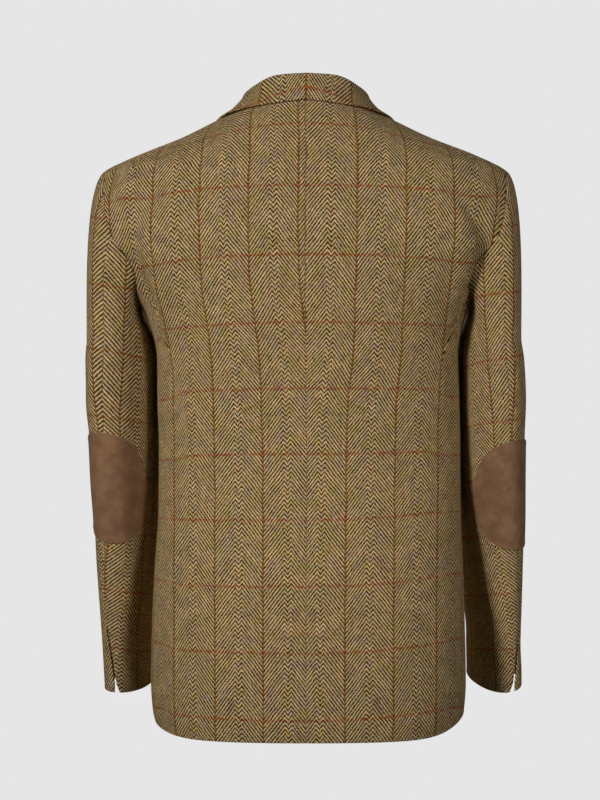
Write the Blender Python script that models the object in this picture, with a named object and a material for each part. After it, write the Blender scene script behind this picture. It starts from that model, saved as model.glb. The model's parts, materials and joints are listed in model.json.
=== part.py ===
"""A tweed hacking jacket, worn and hollow, built from cut-and-sewn walls of cloth.

Metres, +Z up. The front faces -Y and the wearer's left is +X. Heights in the tables are
above the back hem, and NECK_HEIGHT turns them into Z, so that the origin is the middle of
the neck opening, level with the inner ends of the shoulder seams.

The body is one surface, torso(side, angle, height), with the angle turning from centre
back (0) past the side (90 degrees) to centre front (180). Each sleeve is a second surface,
sleeve(side, turn, down), that starts on the armhole, a closed line on the body. Every
piece is a wall that follows a stretch of one of them.
"""

import bisect
import math

import bmesh
import bpy
from mathutils import Matrix, Vector

NECK_HEIGHT = 0.746
CLOTH = 0.002
COLLAR_CLOTH = 0.0024
SUEDE = 0.0013
SEAM_GAP = 0.0003

SIDES = {"left": 1, "right": -1}

TWEED = {"name": "tweed", "colour": (0.19, 0.13, 0.06), "roughness": 0.9}
SUEDE_FINISH = {"name": "suede", "colour": (0.15, 0.08, 0.04), "roughness": 0.85}
HORN = {"name": "horn", "colour": (0.045, 0.022, 0.010), "roughness": 0.35}

# The body's level sections. Back and front are the depths behind and before the side line.
# A power of 2 is an ellipse, and a higher one is squarer. The shift moves a section sideways.
TORSO_COLUMNS = ("height", "half_width", "shift", "back", "front", "back_power", "front_power")
TORSO_ROWS = (
    (-0.030, 0.1700, -0.0045, 0.120, 0.126, 2.40, 2.20),
    (0.000, 0.1790, -0.0045, 0.126, 0.130, 2.40, 2.20),
    (0.025, 0.1870, -0.0045, 0.129, 0.132, 2.40, 2.20),
    (0.060, 0.1895, -0.0045, 0.129, 0.133, 2.40, 2.20),
    (0.120, 0.1885, -0.0045, 0.125, 0.133, 2.40, 2.20),
    (0.200, 0.1855, -0.0050, 0.114, 0.130, 2.40, 2.20),
    (0.270, 0.1820, -0.0060, 0.101, 0.125, 2.40, 2.20),
    (0.340, 0.1815, -0.0060, 0.095, 0.122, 2.40, 2.20),
    (0.400, 0.1820, -0.0045, 0.098, 0.126, 2.40, 2.20),
    (0.450, 0.1812, -0.0034, 0.105, 0.132, 2.45, 2.15),
    (0.495, 0.1905, -0.0015, 0.111, 0.136, 2.50, 2.10),
    (0.530, 0.2110, 0.0000, 0.114, 0.137, 2.55, 2.10),
    (0.561, 0.2350, 0.0000, 0.116, 0.135, 2.60, 2.05),
    (0.590, 0.2550, 0.0000, 0.116, 0.130, 2.70, 2.00),
    (0.620, 0.2620, 0.0000, 0.114, 0.121, 2.60, 2.00),
    (0.645, 0.2575, -0.0005, 0.110, 0.112, 2.45, 2.00),
    (0.660, 0.2510, -0.0010, 0.107, 0.105, 2.30, 2.00),
    (0.675, 0.2405, -0.0015, 0.104, 0.097, 2.15, 2.00),
    (0.683, 0.2255, -0.0026, 0.102, 0.092, 2.10, 2.00),
    (0.695, 0.1988, -0.0028, 0.098, 0.084, 2.00, 2.00),
    (0.714, 0.1500, -0.0020, 0.091, 0.066, 2.00, 2.00),
    (0.734, 0.1085, -0.0010, 0.083, 0.048, 2.00, 2.00),
    (0.746, 0.0830, -0.0008, 0.077, 0.036, 2.00, 2.00),
    (0.762, 0.0695, -0.0016, 0.069, 0.028, 2.00, 2.00),
    (0.790, 0.0668, -0.0026, 0.062, 0.024, 2.00, 2.00),
)

# The armhole, seen from the side: four quarter ellipses between its top, its bottom, and
# its deepest points behind and in front.
ARMHOLE_TOP = 0.675
ARMHOLE_BOTTOM = 0.510
ARMHOLE_BACK = {"height": 0.590, "depth": 0.070}
ARMHOLE_FRONT = {"height": 0.565, "depth": 0.066}
BACK_JOINT_TURN = math.radians(135)
FRONT_JOINT_TURN = math.radians(225)

# Angles of the seams on each side of the side body, below the armhole.
SEAM_COLUMNS = ("height", "back_seam", "front_seam")
SEAM_ROWS = (
    (-0.030, 63.5, 108.0),
    (0.120, 63.5, 108.0),
    (0.250, 63.0, 108.0),
    (0.340, 63.0, 108.0),
    (0.430, 66.0, 106.5),
)

# Closing and opening of the fronts, measured across from the centre front.
OVERLAP = 0.020
BREAK_HEIGHT = 0.375
ROLL_TOP = {"across": 0.0705, "height": 0.713}
QUARTER_TOP = 0.205
QUARTER_SWEEP = 0.088
QUARTER_POWER = 2.2
BLADE_HEIGHT = 0.60
BACK_NECK_RISE = 0.016
CENTRE_SHIFT_SHARE = 0.6
OVERLAP_LIFT = {"below": 0.0026, "above": 0.0054, "from": 0.070, "to": 0.018}
OVERLAP_STEP = {"height": 0.300, "over": 0.060}
OVERLAP_END = {"height": 0.460, "over": 0.060}

# Extra rise of the hem at the sides, where the skirt curls under.
HEM_RISE = {"left": 0.0125, "right": 0.0235}
HEM_SPREAD = math.radians(19)
HEM_SIDE_ANGLE = math.radians(88)
FRONT_HEM_DROP = 0.006

# Soft drapes of the back beside the armholes and over the seat: ridges and, where the
# rise is negative, troughs, each along a line from its upper to its lower end.
DRAPE_COLUMNS = ("side", "top_angle", "top_height", "low_angle", "low_height", "rise", "width")
DRAPE_ROWS = (
    (1, 55, 0.610, 66, 0.470, 0.0040, 0.014),
    (1, 46, 0.600, 58, 0.480, -0.0030, 0.016),
    (-1, 52, 0.625, 62, 0.520, 0.0050, 0.011),
    (-1, 60, 0.620, 70, 0.545, -0.0070, 0.008),
    (-1, 42, 0.600, 52, 0.470, -0.0025, 0.018),
)

# Near the armhole an angle covers this much more cloth than it does on a circle. A drape
# runs on past its ends by this share of its length, and dies away there.
DRAPE_STRETCH = 1.5
DRAPE_FADE = 0.4

# The sleeves' level sections below the armhole. Outer is the outermost X and width the
# sideways width before the front is turned in towards the body by the turn-in. Back and
# front are Y.
SLEEVE_COLUMNS = (
    "height", "outer_left", "outer_right", "width_left", "width_right",
    "turn_in_left", "turn_in_right", "back", "front",
)
SLEEVE_ROWS = (
    (0.000, 0.2496, 0.2755, 0.0515, 0.0497, 0.016, 0.034, -0.035, -0.148),
    (0.060, 0.2530, 0.2762, 0.0527, 0.0495, 0.020, 0.036, -0.018, -0.136),
    (0.108, 0.2557, 0.2736, 0.0537, 0.0461, 0.024, 0.038, -0.003, -0.126),
    (0.157, 0.2590, 0.2749, 0.0588, 0.0516, 0.026, 0.039, 0.012, -0.117),
    (0.205, 0.2624, 0.2756, 0.0632, 0.0549, 0.029, 0.040, 0.026, -0.109),
    (0.254, 0.2647, 0.2761, 0.0664, 0.0590, 0.032, 0.040, 0.038, -0.102),
    (0.302, 0.2684, 0.2754, 0.0698, 0.0615, 0.035, 0.040, 0.050, -0.096),
    (0.350, 0.2707, 0.2749, 0.0715, 0.0636, 0.037, 0.039, 0.058, -0.091),
    (0.399, 0.2752, 0.2763, 0.0758, 0.0675, 0.037, 0.037, 0.064, -0.088),
    (0.447, 0.2749, 0.2740, 0.0765, 0.0681, 0.030, 0.031, 0.067, -0.085),
    (0.470, 0.2719, 0.2694, 0.0730, 0.0661, 0.018, 0.020, 0.068, -0.084),
    (0.500, 0.2697, 0.2656, 0.0726, 0.0665, 0.010, 0.010, 0.068, -0.084),
)
SLEEVE_POWER = 2.15
BICEP_HEIGHT = 0.470
CAP_SHARE = 0.4
CAP_REACH = {"left": 0.078, "right": 0.068, "under": 0.012}
CAP_DROP = {"top": 0.040, "under": 0.016}
CAP_ARRIVAL = 0.9
UNDERARM_COLUMNS = 8
ARMHOLE_ROWS = 12
RIDGE_ROWS = (0, 0.13, 0.3, 0.52, 0.76, 1)
BACK_COLUMNS = 10
FRONT_COLUMNS = 12

# Shares up a body panel: hem to armhole, armhole to shoulder, shoulder to neck.
JOINT_SHARE = 0.60
SHOULDER_SHARE = 0.85
LOW_ROWS = (0, 0.012, 0.035, 0.07, 0.12, 0.19, 0.28, 0.38, 0.49, 0.61, 0.74, 0.87, 1)

# Turns of the sleeve's seams, from the outermost line (0) to the back (90 degrees).
SLEEVE_SEAM_COLUMNS = ("down", "hindarm_left", "hindarm_right", "forearm")
SLEEVE_SEAM_ROWS = (
    (0.000, 90, 90, 247.5),
    (0.400, 88, 89, 247.5),
    (0.573, 87, 82, 247.0),
    (0.646, 83, 78, 246.5),
    (0.718, 79, 74, 246.0),
    (0.790, 71, 64, 245.0),
    (0.863, 66, 53, 244.0),
    (0.935, 77, 73, 243.0),
    (1.000, 86, 88, 242.0),
)
TOP_SLEEVE_COLUMNS = 18
UNDER_SLEEVE_COLUMNS = 14
CAP_ROWS = 8
ARM_ROWS = 12
CUFF = {
    "left": {"height": 0.0490, "slant": 0.006, "lowest": math.radians(95)},
    "right": {"height": 0.0565, "slant": 0.014, "lowest": math.radians(115)},
}
VENT_TOP = 0.883
VENT_PARTING = 0.0006
VENT_CORNER = {"from": 0.985, "parting": 0.0030}

PATCH_REACH = 0.995
ELBOW_PATCH = {"half_height": 0.0665, "half_width": 0.066, "power": 2.1, "lean": 0.012}
PATCH_PLACE = {
    "left": {"height": 0.294, "turn": math.radians(86.4)},
    "right": {"height": 0.286, "turn": math.radians(67.0)},
}

# The collar's stations, by angle from centre back: heights of the fold and of the fall's
# edge, the angle that the edge has reached, and how far the fall's middle and edge stand
# off the body.
COLLAR_COLUMNS = (
    "angle", "fold_height", "edge_angle", "edge_height", "middle_lift", "edge_lift",
)
COLLAR_ROWS = (
    (0, 0.7804, 0, 0.7520, 0.0072, 0.0024),
    (30, 0.7790, 31, 0.7475, 0.0066, 0.0028),
    (60, 0.7685, 61, 0.7430, 0.0054, 0.0030),
    (90, 0.7585, 90, 0.7375, 0.0052, 0.0030),
    (105, 0.7490, 104, 0.7240, 0.0075, 0.0026),
    (118, 0.7330, 110, 0.7100, 0.0060, 0.0028),
    (128, 0.7185, 113.9, 0.7000, 0.0050, 0.0030),
)
COLLAR_FOLD_RADIUS = 0.0030
COLLAR_SEAT = 0.0018
COLLAR_STATIONS = 12
COLLAR_STAND_SHARE = 0.30
COLLAR_FALL_SHARE = 0.50

# The gorge: the collar's front end runs down along it to the notch, then up to its tip.
GORGE = {"share": 0.6, "drop": 0.018, "turn": math.radians(4.3), "from": 105, "to": 128}
LAPEL_NOTCH = {"share": 0.56, "drop": 0.005}
LAPEL_PEAK = {"across": 0.143, "height": 0.678}
LAPEL_BELLY = 0.014
LAPEL_RADIUS = {"break": 0.0014, "top": 0.0035, "from": 0.47, "to": 0.58}
LAPEL_EDGE_LIFT = 0.0018
LAPEL_FOLD_SHARE = 0.25
LAPEL_CLEAR = 0.0005
LAPEL_FOOT = 0.03
LAPEL_HEAD = 0.996

FLAP = {
    "front_angle": math.radians(146),
    "back_angle": math.radians(113),
    "front_height": 0.292,
    "back_height": 0.262,
    "depth": 0.055,
    "length": 0.150,
    "corner": 0.012,
}
FLAP_CLEAR = 0.0009
PATCH_CLEAR = 0.0010
PATCH_ROWS = 9

BUTTON = {"radius": 0.010, "thickness": 0.0036, "rim": 0.0020, "dish": 0.0010}
BUTTON_HOLES = {"count": 4, "radius": 0.0009, "ring": 0.0024}
BUTTON_HEIGHTS = {"upper": 0.362, "lower": 0.262}
BUTTON_SEGMENTS = 20
BUTTON_CLEAR = 0.0005


def read_table(columns, rows):
    return {name: [row[i] for row in rows] for i, name in enumerate(columns)}


TORSO = read_table(TORSO_COLUMNS, TORSO_ROWS)
SEAMS = read_table(SEAM_COLUMNS, SEAM_ROWS)
SLEEVES = read_table(SLEEVE_COLUMNS, SLEEVE_ROWS)
SLEEVE_SEAMS = read_table(SLEEVE_SEAM_COLUMNS, SLEEVE_SEAM_ROWS)
COLLAR = read_table(COLLAR_COLUMNS, COLLAR_ROWS)
DRAPES = [dict(zip(DRAPE_COLUMNS, row)) for row in DRAPE_ROWS]


def lerp(a, b, share):
    return a + (b - a) * share


def eased(share):
    """0 to 1 with level ends, and flat outside them."""
    share = min(1.0, max(0.0, share))
    return share * share * (3 - 2 * share)


def smooth(table, name, at):
    """A column's value at a value of the first column, on a curve that never overshoots."""
    keys = next(iter(table.values()))
    values = table[name]
    at = min(keys[-1], max(keys[0], at))
    i = min(len(keys) - 2, max(0, bisect.bisect_right(keys, at) - 1))
    rises = [
        (values[k + 1] - values[k]) / (keys[k + 1] - keys[k])
        for k in range(max(0, i - 1), min(len(keys) - 1, i + 2))
    ]
    here = min(1, i)
    slopes = []
    for k in (here - 1, here):
        before = rises[max(0, k)]
        after = rises[min(len(rises) - 1, k + 1)]
        slopes.append(0.0 if before * after <= 0 else 2 * before * after / (before + after))
    span = keys[i + 1] - keys[i]
    u = (at - keys[i]) / span
    return (
        values[i] * (1 + 2 * u) * (1 - u) ** 2
        + values[i + 1] * u * u * (3 - 2 * u)
        + span * slopes[0] * u * (1 - u) ** 2
        + span * slopes[1] * u * u * (u - 1)
    )


def drape_rise(side, angle, height):
    """How far the cloth's soft folds move it out from the plain body."""
    rise = 0.0
    degrees = math.degrees(angle)
    arm = smooth(TORSO, "back", height)
    for fold in DRAPES:
        if fold["side"] != side:
            continue
        along = (fold["top_height"] - height) / (fold["top_height"] - fold["low_height"])
        if not -DRAPE_FADE < along < 1 + DRAPE_FADE:
            continue
        middle = lerp(fold["top_angle"], fold["low_angle"], along)
        off = math.radians(degrees - middle) * arm * DRAPE_STRETCH
        ends = eased((along + DRAPE_FADE) / 0.55) * eased((1 + DRAPE_FADE - along) / 0.55)
        rise += fold["rise"] * ends * math.exp(-((off / fold["width"]) ** 2))
    return rise


def torso(side, angle, height):
    """A point of the body's outer surface."""
    half = "back" if math.cos(angle) >= 0 else "front"
    power = smooth(TORSO, half + "_power", height)
    wide = abs(math.sin(angle)) / smooth(TORSO, "half_width", height)
    deep = abs(math.cos(angle)) / smooth(TORSO, half, height)
    radius = (wide**power + deep**power) ** (-1 / power) + drape_rise(side, angle, height)
    return Vector(
        (
            side * radius * math.sin(angle) + smooth(TORSO, "shift", height),
            radius * math.cos(angle),
            height - NECK_HEIGHT,
        )
    )


def outward(side, angle, height):
    """The body's unit normal."""
    step = 1e-4
    across = torso(side, angle + step, height) - torso(side, angle - step, height)
    up = torso(side, angle, height + step) - torso(side, angle, height - step)
    return (up.cross(across) * side).normalized()


def off_torso(side, angle, height, lift):
    return torso(side, angle, height) + outward(side, angle, height) * lift


def angle_at_depth(depth, height):
    """The angle at which the body's section reaches a depth behind (+) or in front (-)."""
    half = "back" if depth >= 0 else "front"
    power = smooth(TORSO, half + "_power", height)
    share = min(1.0, abs(depth) / smooth(TORSO, half, height))
    across = smooth(TORSO, "half_width", height) * (1 - share**power) ** (1 / power)
    return math.atan2(across, depth)


def front_angle(across, height):
    """The angle at which the front reaches a distance across from the centre front."""
    power = smooth(TORSO, "front_power", height)
    share = min(0.999, abs(across) / smooth(TORSO, "half_width", height))
    depth = smooth(TORSO, "front", height) * (1 - share**power) ** (1 / power)
    return math.atan2(across, -depth) % (2 * math.pi)


def armhole(turn):
    """(angle, height) of the armhole at a turn: 0 top, 90 degrees back, 180 under."""
    half = ARMHOLE_BACK if math.sin(turn) >= 0 else ARMHOLE_FRONT
    depth = half["depth"] * math.sin(turn)
    far = ARMHOLE_TOP if math.cos(turn) >= 0 else ARMHOLE_BOTTOM
    height = half["height"] + abs(far - half["height"]) * math.cos(turn)
    return angle_at_depth(depth, height), height


def seam_angle(name, height):
    """Angle of a side body's seam, running up into its joint on the armhole."""
    turn = BACK_JOINT_TURN if name == "back_seam" else FRONT_JOINT_TURN
    joint_angle, joint_height = armhole(turn)
    last = SEAMS["height"][-1]
    low = math.radians(smooth(SEAMS, name, height))
    return lerp(low, joint_angle, eased((height - last) / (joint_height - last)))


def underarm_table():
    """Height of the armhole's underside by share of the way round from seam to seam."""
    turns = [lerp(BACK_JOINT_TURN, FRONT_JOINT_TURN, share) for share in shares(UNDERARM_COLUMNS)]
    points = [armhole(turn) for turn in turns]
    first, last = points[0][0], points[-1][0]
    return {
        "share": [(angle - first) / (last - first) for angle, _ in points],
        "height": [height for _, height in points],
    }


def centre_back_angle(side, height):
    """The centre back seam stays nearer the middle than a shifted section does."""
    off_centre = -CENTRE_SHIFT_SHARE * smooth(TORSO, "shift", height)
    return side * off_centre / smooth(TORSO, "back", height)


def side_name(side):
    return "left" if side > 0 else "right"


def hem_height(side, angle):
    name = side_name(side)
    off = (angle - HEM_SIDE_ANGLE) / HEM_SPREAD
    drop = FRONT_HEM_DROP * eased((angle - HEM_SIDE_ANGLE) / math.radians(50))
    return HEM_RISE[name] * math.exp(-off * off) - drop


def roll_top_angle():
    return front_angle(ROLL_TOP["across"], ROLL_TOP["height"])


def neck_height(angle):
    """Height of the line where the collar is sewn on."""
    if angle <= math.pi / 2:
        return NECK_HEIGHT + BACK_NECK_RISE * math.cos(angle) ** 2
    share = (angle - math.pi / 2) / (roll_top_angle() - math.pi / 2)
    return lerp(NECK_HEIGHT, ROLL_TOP["height"], share)


def front_edge(height):
    """Distance of a front's free edge from the centre front, negative where it overlaps."""
    if height >= BREAK_HEIGHT:
        share = (height - BREAK_HEIGHT) / (ROLL_TOP["height"] - BREAK_HEIGHT)
        return lerp(-OVERLAP, ROLL_TOP["across"], share)
    if height >= QUARTER_TOP:
        return -OVERLAP
    share = (QUARTER_TOP - height) / QUARTER_TOP
    round_off = 1 - max(0.0, 1 - share**QUARTER_POWER) ** (1 / QUARTER_POWER)
    return -OVERLAP + QUARTER_SWEEP * round_off


def overlap_lift(side, angle, height):
    """The left front lies over the right one, and over the foot of the right lapel."""
    if side < 0 or angle < math.pi / 2:
        return 0.0
    across = smooth(TORSO, "front", height) * -math.tan(angle)
    near = eased((OVERLAP_LIFT["from"] - across) / (OVERLAP_LIFT["from"] - OVERLAP_LIFT["to"]))
    high = eased((height - OVERLAP_STEP["height"]) / OVERLAP_STEP["over"])
    fade = 1 - eased((height - OVERLAP_END["height"]) / OVERLAP_END["over"])
    return near * fade * lerp(OVERLAP_LIFT["below"], OVERLAP_LIFT["above"], high)


def cloth_front(side, angle, height, lift=0.0):
    """The fronts' own surface: the body's, with the left one moved out where it laps over."""
    return off_torso(side, angle, height, overlap_lift(side, angle, height) + lift)


def shares(count):
    return [i / count for i in range(count + 1)]


def wall_object(name, face, columns, rows, offsets, finish):
    """A closed wall on the surface face(s, t), taken at the shares columns and rows.

    The wall is a flat slab, made as an extruded grid, whose points are moved to the face
    and then along its normal by the two offsets, one for each side. Its edges are drawn
    back by half a seam's gap.
    """
    bm = bmesh.new()
    bmesh.ops.create_grid(bm, x_segments=len(columns) - 1, y_segments=len(rows) - 1, size=0.5)
    made = bmesh.ops.extrude_face_region(bm, geom=bm.faces[:], use_keep_orig=True)
    for item in made["geom"]:
        if isinstance(item, bmesh.types.BMVert):
            item.co.z = 1.0
    places = {}
    for i, s in enumerate(columns):
        for j, t in enumerate(rows):
            s_in = drawn_back(columns, i, lambda value: face(value, t))
            t_in = drawn_back(rows, j, lambda value: face(s, value))
            places[i, j] = (face(s_in, t_in), face_normal(face, s_in, t_in))
    for vert in bm.verts:
        i = round((vert.co.x + 0.5) * (len(columns) - 1))
        j = round((vert.co.y + 0.5) * (len(rows) - 1))
        point, normal = places[i, j]
        vert.co = point + normal * offsets[round(vert.co.z)]
    bmesh.ops.recalc_face_normals(bm, faces=bm.faces[:])
    if bm.calc_volume(signed=True) < 0:
        bmesh.ops.reverse_faces(bm, faces=bm.faces[:])
    mesh = bpy.data.meshes.new(name)
    bm.to_mesh(mesh)
    bm.free()
    mesh.shade_smooth()
    mesh.set_sharp_from_angle(angle=math.radians(50))
    return add_object(name, mesh, finish)


def drawn_back(values, i, point):
    """The share at i, moved half a seam's gap towards its neighbour if it is an end."""
    if i not in (0, len(values) - 1):
        return values[i]
    inner = values[1] if i == 0 else values[-2]
    step = 0.2 * (inner - values[i])
    length = (point(values[i] + step) - point(values[i])).length
    return values[i] + step * min(1.0, SEAM_GAP / 2 / max(length, 1e-6))


def face_normal(face, s, t):
    step = 1e-4
    s_low, s_high = max(0.0, s - step), min(1.0, s + step)
    t_low, t_high = max(0.0, t - step), min(1.0, t + step)
    across = face(s_high, t) - face(s_low, t)
    along = face(s, t_high) - face(s, t_low)
    return across.cross(along).normalized()


def add_object(name, mesh, finish):
    obj = bpy.data.objects.new(name, mesh)
    mesh.materials.append(material_of(name, finish))
    bpy.data.collections["tweed_hacking_jacket"].objects.link(obj)
    return obj


def material_of(name, finish):
    material = bpy.data.materials.new(f"{finish['name']}_{name}")
    material.use_nodes = True
    shader = material.node_tree.nodes["Principled BSDF"]
    shader.inputs["Base Color"].default_value = (*finish["colour"], 1)
    shader.inputs["Roughness"].default_value = finish["roughness"]
    shader.inputs["Metallic"].default_value = 0.0
    material.diffuse_color = (*finish["colour"], 1)
    return material


def level(t, front):
    """(height, seam angle) of the side edge of a back or front at a share up the panel.

    It runs up the side seam, then the armhole, then the shoulder seam to the neck.
    """
    turn = FRONT_JOINT_TURN if front else BACK_JOINT_TURN
    joint = armhole(turn)[1]
    if t <= JOINT_SHARE:
        plain = joint * t / JOINT_SHARE
        angle = seam_angle("front_seam" if front else "back_seam", plain)
        return plain, angle
    if t <= SHOULDER_SHARE:
        top_turn = 2 * math.pi if front else 0.0
        share = (t - JOINT_SHARE) / (SHOULDER_SHARE - JOINT_SHARE)
        angle, height = armhole(lerp(turn, top_turn, share))
        return height, angle
    share = (t - SHOULDER_SHARE) / (1 - SHOULDER_SHARE)
    return lerp(ARMHOLE_TOP, NECK_HEIGHT, share), math.pi / 2


def body_rows():
    low = [JOINT_SHARE * share for share in LOW_ROWS]
    middle = [lerp(JOINT_SHARE, SHOULDER_SHARE, share) for share in shares(ARMHOLE_ROWS)]
    high = [lerp(SHOULDER_SHARE, 1, share) for share in RIDGE_ROWS]
    return low + middle[1:] + high[1:]


def neck_pull(height):
    """How far a row has bent from level towards the neck line: 0 below the blades, 1 on it."""
    return max(0.0, (height - BLADE_HEIGHT) / (NECK_HEIGHT - BLADE_HEIGHT)) ** 2


def back_face(side):
    def face(s, t):
        height, edge = level(t, False)
        angle = lerp(centre_back_angle(side, height), edge, s)
        if t < JOINT_SHARE:
            height += hem_height(side, angle) * (1 - t / JOINT_SHARE)
        height += BACK_NECK_RISE * math.cos(s * math.pi / 2) ** 2 * neck_pull(height)
        return torso(side, angle, height)

    return face


def side_face(side, underarm):
    def face(s, t):
        angles = [
            seam_angle(name, armhole(turn)[1] * t)
            for name, turn in (("back_seam", BACK_JOINT_TURN), ("front_seam", FRONT_JOINT_TURN))
        ]
        angle = lerp(angles[0], angles[1], s)
        height = lerp(hem_height(side, angle), smooth(underarm, "height", s), t)
        return torso(side, angle, height)

    return face


def front_face(side):
    def face(s, t):
        height, edge = level(t, True)
        height -= (NECK_HEIGHT - ROLL_TOP["height"]) * s * neck_pull(height)
        low = height - (NECK_HEIGHT - ROLL_TOP["height"]) * (1 - s) * neck_pull(height)
        free = front_angle(front_edge(low), low)
        angle = lerp(edge, free, s)
        if t < JOINT_SHARE:
            height += hem_height(side, angle) * (1 - t / JOINT_SHARE)
        return cloth_front(side, angle, height)

    return face


def build_body():
    underarm = underarm_table()
    rows = body_rows()
    low_rows = list(LOW_ROWS)
    for name, side in SIDES.items():
        inwards = (0.0, CLOTH * side)
        wall_object(
            f"back_{name}", back_face(side), shares(BACK_COLUMNS), rows, inwards, TWEED
        )
        wall_object(
            f"side_{name}", side_face(side, underarm), underarm["share"], low_rows, inwards, TWEED
        )
        wall_object(
            f"front_{name}", front_face(side), shares(FRONT_COLUMNS), rows, inwards, TWEED
        )


def sleeve_ring(side, turn, height):
    name = side_name(side)
    half_width = smooth(SLEEVES, f"width_{name}", height) / 2
    back, front = smooth(SLEEVES, "back", height), smooth(SLEEVES, "front", height)
    middle_x = smooth(SLEEVES, f"outer_{name}", height) - half_width
    out = math.copysign(abs(math.cos(turn)) ** (2 / SLEEVE_POWER), math.cos(turn))
    rear = math.copysign(abs(math.sin(turn)) ** (2 / SLEEVE_POWER), math.sin(turn))
    turned = smooth(SLEEVES, f"turn_in_{name}", height) * (1 - rear) / 2
    return Vector(
        (
            side * (middle_x + half_width * out - turned),
            (back + front) / 2 + (back - front) / 2 * rear,
            height - NECK_HEIGHT,
        )
    )


def cuff_height(side, turn):
    cuff = CUFF[side_name(side)]
    return cuff["height"] - cuff["slant"] * math.cos(turn - cuff["lowest"])


def sleeve(side, turn, down):
    """A point of the sleeve: down is 0 on the armhole, CAP_SHARE at the upper arm, 1 at the cuff."""
    if down >= CAP_SHARE:
        share = (down - CAP_SHARE) / (1 - CAP_SHARE)
        return sleeve_ring(side, turn, lerp(BICEP_HEIGHT, cuff_height(side, turn), share))
    u = down / CAP_SHARE
    start = torso(side, *armhole(turn))
    end = sleeve_ring(side, turn, BICEP_HEIGHT)
    topness = (1 + math.cos(turn)) / 2
    reach = lerp(CAP_REACH["under"], CAP_REACH[side_name(side)], topness)
    drop = lerp(CAP_DROP["under"], CAP_DROP["top"], topness)
    leave = Vector((side * reach, 0, -drop))
    arrive = Vector((0, 0, -CAP_ARRIVAL * (start.z - end.z)))
    return (
        start * (2 * u**3 - 3 * u**2 + 1)
        + leave * (u**3 - 2 * u**2 + u)
        + end * (3 * u**2 - 2 * u**3)
        + arrive * (u**3 - u**2)
    )


def sleeve_rows():
    cap = [CAP_SHARE * share for share in shares(CAP_ROWS)]
    return cap + [lerp(CAP_SHARE, 1, share) for share in shares(ARM_ROWS)][1:]


def vent_parting(down):
    """Half the opening between the sleeve's two edges at the hindarm vent."""
    corner = eased((down - VENT_CORNER["from"]) / (1 - VENT_CORNER["from"]))
    part = lerp(VENT_PARTING, VENT_CORNER["parting"], corner)
    return part * eased((down - VENT_TOP) / 0.01)


def sleeve_turn(side, column, down):
    """The turn of a sleeve column: 0 on the hindarm seam, negative on the top sleeve."""
    name = side_name(side)
    hindarm = math.radians(smooth(SLEEVE_SEAMS, f"hindarm_{name}", down))
    forearm = math.radians(smooth(SLEEVE_SEAMS, "forearm", down))
    if column <= 0:
        return lerp(hindarm, forearm - 2 * math.pi, -column / TOP_SLEEVE_COLUMNS)
    return lerp(hindarm, forearm, column / UNDER_SLEEVE_COLUMNS)


def parted(side, turn, down, direction):
    """A turn moved from the hindarm seam by the vent's opening."""
    step = 0.01
    length = (sleeve(side, turn + step, down) - sleeve(side, turn - step, down)).length
    return turn + direction * vent_parting(down) * 2 * step / length


def top_sleeve_face(side):
    def face(s, t):
        turn = sleeve_turn(side, (s - 1) * TOP_SLEEVE_COLUMNS, t)
        return sleeve(side, parted(side, turn, t, -eased(s * 4 - 3)), t)

    return face


def under_sleeve_face(side):
    def face(s, t):
        turn = sleeve_turn(side, s * UNDER_SLEEVE_COLUMNS, t)
        return sleeve(side, parted(side, turn, t, eased(1 - s * 4)), t)

    return face


def patch_table(side):
    """The patch's columns, as arc lengths from its middle and as sleeve columns."""
    place = PATCH_PLACE[side_name(side)]
    down = arm_down(side, place["height"], math.pi / 2)
    columns = [-TOP_SLEEVE_COLUMNS + k * 0.25 for k in range(4 * (TOP_SLEEVE_COLUMNS + 8) + 1)]
    turns = [sleeve_turn(side, column, down) for column in columns]
    arcs = [0.0]
    for a, b in zip(turns, turns[1:]):
        arcs.append(arcs[-1] + (sleeve(side, b, down) - sleeve(side, a, down)).length)
    middle = smooth({"turn": turns, "arc": arcs}, "arc", place["turn"])
    return {"arc": [arc - middle for arc in arcs], "column": columns}


def arm_down(side, height, turn):
    share = (BICEP_HEIGHT - height) / (BICEP_HEIGHT - cuff_height(side, turn))
    return lerp(CAP_SHARE, 1, share)


def patch_face(side, table):
    def face(s, t):
        arc = lerp(-1, 1, s) * ELBOW_PATCH["half_width"] * PATCH_REACH
        power = ELBOW_PATCH["power"]
        share = abs(arc) / ELBOW_PATCH["half_width"]
        rise = (1 - share**power) ** (1 / power) * (1 - 2 * t)
        column = smooth(table, "column", arc - ELBOW_PATCH["lean"] * rise)
        height = PATCH_PLACE[side_name(side)]["height"] + ELBOW_PATCH["half_height"] * rise
        turn = sleeve_turn(side, column, arm_down(side, height, math.pi / 2))
        return sleeve(side, turn, arm_down(side, height, turn))

    return face


def patch_columns(table):
    """Shares across the patch that fall on the sleeve's own columns, and its two ends."""
    reach = ELBOW_PATCH["half_width"] * PATCH_REACH
    flipped = {"column": table["column"], "arc": table["arc"]}
    inner = [smooth(flipped, "arc", column) for column in range(-TOP_SLEEVE_COLUMNS, 8)]
    near = [0.5 + arc / reach / 2 for arc in inner]
    kept = [share for share in near if 0.03 < share < 0.97]
    return [0.0, 0.5 * kept[0]] + kept + [0.5 * (1 + kept[-1]), 1.0]


def build_sleeves():
    rows = sleeve_rows()
    for name, side in SIDES.items():
        inwards = (0.0, CLOTH * side)
        wall_object(
            f"top_sleeve_{name}",
            top_sleeve_face(side), shares(TOP_SLEEVE_COLUMNS), rows, inwards, TWEED,
        )
        wall_object(
            f"under_sleeve_{name}",
            under_sleeve_face(side), shares(UNDER_SLEEVE_COLUMNS), rows, inwards, TWEED,
        )
        table = patch_table(side)
        outwards = (-PATCH_CLEAR * side, -(PATCH_CLEAR + SUEDE) * side)
        wall_object(
            f"elbow_patch_{name}",
            patch_face(side, table), patch_columns(table), shares(PATCH_ROWS),
            outwards, SUEDE_FINISH,
        )


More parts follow.
